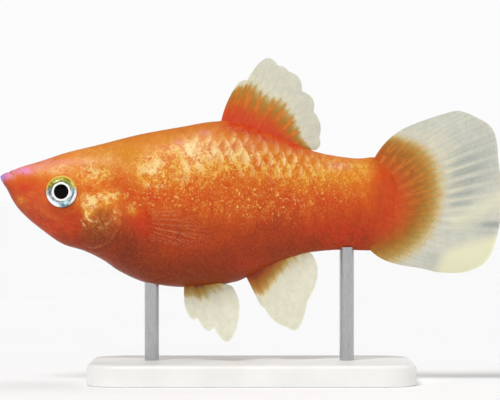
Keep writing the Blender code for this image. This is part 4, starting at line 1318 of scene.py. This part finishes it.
# The eye's outline from the middle of the lens out to its edge and back into the head, as the
# distance from its axis and the height
EYE_PROFILE = (
    (0.0, 0.54), (0.25, 0.53), (0.5, 0.49), (0.72, 0.43), (0.82, 0.4), (0.88, 0.435), (0.97, 0.43),
    (1.05, 0.39), (1.3, 0.36), (1.54, 0.33), (1.68, 0.26), (1.75, 0.1), (1.78, -0.12), (1.76, -0.4),
    (1.6, -0.75), (1.2, -0.95),
)
EYE_EDGE = 1.78
EYE_TURNS = 144
EYE_RINGS = 70

# Marks on the iris: each is the direction from the pupil in degrees, 0 to the tail and 90 up, the
# distance out as a share of the eye, half its spread round and out, and its strength
IRIS_MARKS = {
    "white": ((228, 0.9, 28, 0.1, 3.0), (-24, 0.9, 20, 0.07, 3.0), (12, 0.92, 7, 0.04, 0.9)),
    "blue": ((250, 0.78, 22, 0.12, 1.0), (-8, 0.66, 30, 0.05, 0.9), (-60, 0.7, 14, 0.06, 0.8)),
    "cyan": ((-68, 0.74, 8, 0.09, 1.3), (-52, 0.84, 8, 0.04, 0.6)),
    "teal": ((-84, 0.83, 11, 0.1, 1.4), (268, 0.93, 26, 0.04, 0.8)),
    "slate": ((-22, 0.76, 24, 0.05, 1.4), (184, 0.72, 18, 0.09, 0.9), (205, 0.84, 12, 0.05, 0.5)),
    "streak": ((112, 0.72, 15, 0.045, 1.6), (86, 0.78, 6, 0.04, 0.7), (34, 0.84, 12, 0.05, 0.8)),
}

# Their colours, in the order that they are laid on
IRIS_COLOURS = (
    ("slate", (84, 88, 116)), ("blue", (196, 218, 238)), ("teal", (58, 112, 136)),
    ("cyan", (206, 248, 248)), ("streak", (250, 248, 166)), ("white", (255, 255, 255)),
)


def wrapped(turn):
    return (turn + math.pi) % (2 * math.pi) - math.pi


def iris_marks(turn, share, marks):
    total = np.zeros_like(share)
    for degrees, place, round_half, out_half, strength in marks:
        aside = hump(wrapped(turn - math.radians(degrees)), math.radians(round_half))
        total += strength * aside * hump(share - place, out_half)
    return np.minimum(total, 1.0)


def make_eye(name, side, material):
    """A turned eyeball: a domed lens, a raised bright ring and an iris that slopes to the socket."""
    x, z = EYE_CENTRE
    facing = flank_normal(x, z, side).lerp(Vector((0, side, 0)), EYE_TURN).normalized()
    upward = (Vector((0, 0, 1)) - facing * facing.z).normalized()
    backward, upward, facing = (np.array(v) for v in (facing.cross(upward) * side, upward, facing))
    middle = np.array([x, side * flank_y(x, z), z])
    profile = np.array(EYE_PROFILE)
    lengths = running_lengths(profile)
    spread = np.linspace(0, lengths[-1], EYE_RINGS)[1:]
    radius, height = (smooth_curve(np.stack([lengths, v], -1))(spread) for v in profile.T)
    r, t = grid(radius, np.linspace(0, 2 * math.pi, EYE_TURNS, endpoint=False))
    shell = middle + (r * np.cos(t))[..., None] * backward + (r * np.sin(t))[..., None] * upward
    shell += height[:, None, None] * facing
    tips = [middle + profile[end, 1] * facing for end in (0, -1)]
    points = np.concatenate([shell.reshape(-1, 3), tips])
    faces = pointed_tube_faces(len(radius), EYE_TURNS)
    if side < 0:
        faces = [face[::-1] for face in faces]
    share = r / EYE_EDGE
    uneven = 0.008 * np.sin(3 * t + 1.0) + 0.012 * np.sin(7 * t) - 0.05 * hump(wrapped(t + 0.25), 0.35)
    values = {"ring": share, "white_edge": share + uneven, "up": np.sin(t)}
    values.update((key, iris_marks(t, share, marks)) for key, marks in IRIS_MARKS.items())
    values = {key: np.append(numbers, [0, 0]) for key, numbers in values.items()}
    replaced = (name.replace("eyeball", "eye"),)
    make_piece(name, points, faces, material, replaced, values=values)


def eye_material():
    """An iris that is olive above and silver below, with bright marks, a white ring and the pupil."""
    s = Shader("eye")
    ring, white_edge, up = s.attributes("ring", "white_edge", "up")
    streak = s.noise(0.22, 3.0, 0.6)
    silver = s.mix(streak.between(0.4, 0.6), (88, 104, 96), (190, 202, 196))
    olive = s.mix(s.noise(0.3).between(0.42, 0.62), (112, 112, 22), (178, 172, 60))
    s.colour = s.mix(up.between(0.0, 0.5), silver, olive)
    s.lay(ring.between(0.76, 0.6) * up.between(-0.6, 0.2) * 0.6, (78, 92, 84))
    for key, colour in IRIS_COLOURS:
        s.lay(s.attribute(key), colour)
    s.lay(ring.between(0.86, 0.92) * up.between(-0.05, 0.35), (228, 186, 84))
    s.lay(white_edge.between(0.605, 0.575), (253, 253, 250))
    s.lay(ring.between(0.475, 0.455), (6, 2, 3))
    s.lay(ring.between(0.955, 0.99) * up.between(0.2, -0.2), (96, 66, 62))
    s.set(
        Base_Color=s.colour, Roughness=streak * 0.15 + 0.1,
        Coat_Weight=0.03, Coat_Roughness=0.03, Specular_IOR_Level=0.06,
    )
    s.bump(streak, 0.2, 0.008)
    return s.material


# Stand

# The base's corners and lower edge, and how far a rod goes into the base and into the fish
CORNER_SEGMENTS = 16
BASE_LOWER_EDGE = 0.12
ROD_SIDES = 48
ROD_SINK = 0.3
ROD_REACH = 0.35


def base_material():
    s = Shader("stand_white")
    s.set(
        Base_Color=s.mix(s.noise(6.0).between(0.3, 0.7), (236, 236, 232), (244, 243, 240)),
        Roughness=s.noise(0.5, 4.0) * 0.18 + 0.3,
    )
    s.bump(s.noise(0.3), 0.3, 0.01)
    return s.material


def steel_material():
    s = Shader("brushed_steel")
    brushed = s.noise(0.08, 3.0, 0.6, stretch=(1, 1, 14))
    colour = s.mix(brushed, (150, 151, 154), (206, 206, 208))
    s.set(Base_Color=colour, Roughness=brushed * 0.2 + 0.2, Metallic=1.0)
    s.bump(brushed, 0.3, 0.006)
    return s.material


def base_outline(inset):
    """Points round the base inside its edge by inset, anticlockwise from above."""
    points = []
    for sign_x, sign_y, start in ((1, 1, 0), (-1, 1, 90), (-1, -1, 180), (1, -1, 270)):
        x = TOTAL_LENGTH / 2 + sign_x * (BASE_LENGTH / 2 - BASE_CORNER)
        y = sign_y * (BASE_DEPTH / 2 - BASE_CORNER)
        for angle in np.radians(start + np.linspace(0, 90, CORNER_SEGMENTS + 1)):
            radius = BASE_CORNER - inset
            points.append((x + radius * math.cos(angle), y + radius * math.sin(angle)))
    return points


def make_base(material):
    """A flat plate with round corners, its top edge rolled over and its lower edge just eased."""
    levels = [(BASE_LOWER_EDGE, 0.0), (0.0, BASE_LOWER_EDGE), (0.0, BASE_THICKNESS - BASE_EDGE)]
    for angle in np.radians(np.linspace(9, 90, 10)):
        inset = BASE_EDGE * (1 - math.cos(angle))
        levels.append((inset, BASE_THICKNESS - BASE_EDGE * (1 - math.sin(angle))))
    rings = [[(x, y, height - JAW_HEIGHT) for x, y in base_outline(inset)] for inset, height in levels]
    faces = capped_tube_faces(len(rings), len(rings[0]))
    make_piece("base_plate", np.concatenate(rings), faces, material, ("stand_base",), sharp=35)


def make_rod(word, x, material):
    """A slim rod from inside the base to just inside the underside of the fish."""
    ends = (BASE_THICKNESS - ROD_SINK - JAW_HEIGHT, belly_line(x) + ROD_REACH)
    z, turn = grid(ends, np.linspace(0, 2 * math.pi, ROD_SIDES, endpoint=False))
    points = np.stack([x + ROD_RADIUS * np.cos(turn), ROD_RADIUS * np.sin(turn), z], -1).reshape(-1, 3)
    faces = capped_tube_faces(len(ends), ROD_SIDES)
    make_piece(f"rod_{word}", points, faces, material, (f"stand_rod_{word}",), sharp=35)


# Surroundings

# The camera's view, the studio's walls and ceiling, and the floor
FRAME_WIDTH = 55.67
CAMERA_MIDDLE = (27.83, -2.56)
LENS = 200.0
SENSOR = 36.0
WALL_LIGHT = 0.97
CEILING_LIGHT = 0.3
WALL_TOP = (0.12, 0.4)
FLOOR_METRES = 40.0

# Wide soft lamps far off: the direction to each, its spread in degrees and its power
SUNS = {"key": ((-0.3, -0.55, 1.0), 24, 1.9), "fill": ((0.5, 0.35, 1.0), 40, 0.7)}


def make_floor():
    s = Shader("floor")
    colour = s.mix(s.noise(60.0, 2.0), (245, 245, 245), (249, 249, 249))
    s.set(Base_Color=colour, Roughness=s.noise(8.0, 2.0) * 0.1 + 0.65, Specular_IOR_Level=0.1)
    bpy.ops.mesh.primitive_circle_add(vertices=96, radius=FLOOR_METRES, fill_type="NGON")
    floor = bpy.context.active_object
    floor.name = "floor"
    floor.data.materials.append(s.material)


def make_sun(name, direction, spread, power):
    data = bpy.data.lights.new(name, "SUN")
    data.angle = math.radians(spread)
    data.energy = power
    obj = bpy.data.objects.new(name, data)
    obj.rotation_euler = Vector(direction).to_track_quat("Z", "Y").to_euler()
    bpy.context.scene.collection.objects.link(obj)


def make_camera():
    """Level with the fish's middle, square to its left side, as far off as a long lens would be."""
    data = bpy.data.cameras.new("camera")
    data.lens = LENS
    data.sensor_width = SENSOR
    data.clip_start = 0.01
    obj = bpy.data.objects.new("camera", data)
    obj.location = to_world((CAMERA_MIDDLE[0], -FRAME_WIDTH * LENS / SENSOR, CAMERA_MIDDLE[1]))
    obj.rotation_euler = (math.radians(90), 0, 0)
    bpy.context.scene.collection.objects.link(obj)
    bpy.context.scene.camera = obj


def make_world():
    """A studio whose walls are white all round and whose ceiling is dimmer."""
    world = bpy.data.worlds.new("studio")
    world.use_nodes = True
    nodes, links = world.node_tree.nodes, world.node_tree.links
    place = nodes.new("ShaderNodeTexCoord")
    split = nodes.new("ShaderNodeSeparateXYZ")
    fade = nodes.new("ShaderNodeMapRange")
    fade.interpolation_type = "SMOOTHSTEP"
    limits = zip(("From Min", "From Max", "To Min", "To Max"), (*WALL_TOP, WALL_LIGHT, CEILING_LIGHT))
    for key, value in limits:
        fade.inputs[key].default_value = value
    background = nodes["Background"]
    background.inputs["Color"].default_value = (1.0, 1.0, 1.0, 1.0)
    links.new(place.outputs["Generated"], split.inputs[0])
    links.new(split.outputs["Z"], fade.inputs["Value"])
    links.new(fade.outputs[0], background.inputs["Strength"])
    bpy.context.scene.world = world


def make_surroundings():
    bpy.context.scene.view_settings.view_transform = "Standard"
    make_world()
    for name, (direction, spread, power) in SUNS.items():
        make_sun(name, direction, spread, power)
    make_floor()
    make_camera()


def build():
    make_skin(flesh_material("flesh", False))
    scaled = flesh_material("scaled_flesh", True)
    for side, word in SIDES:
        make_scales(f"scales_{word}", side, scaled)
    tail, back, vent, belly = (fin_material(name, **finish) for name, finish in FINISHES.items())
    make_fin("dorsal_membrane", DORSAL, back)
    make_fin("anal_membrane", ANAL, vent)
    make_fin("caudal_membrane", CAUDAL, tail)
    breast = breast_fin_material()
    eye = eye_material()
    for side, word in SIDES:
        make_fin(f"pelvic_membrane_{word}", PELVIC, belly, side=side)
        make_fin(f"pectoral_membrane_{word}", PECTORAL, breast, side)
        make_eye(f"eyeball_{word}", side, eye)
    make_base(base_material())
    steel = steel_material()
    for word, x in ROD_PLACES:
        make_rod(word, x, steel)
    make_surroundings()


build()
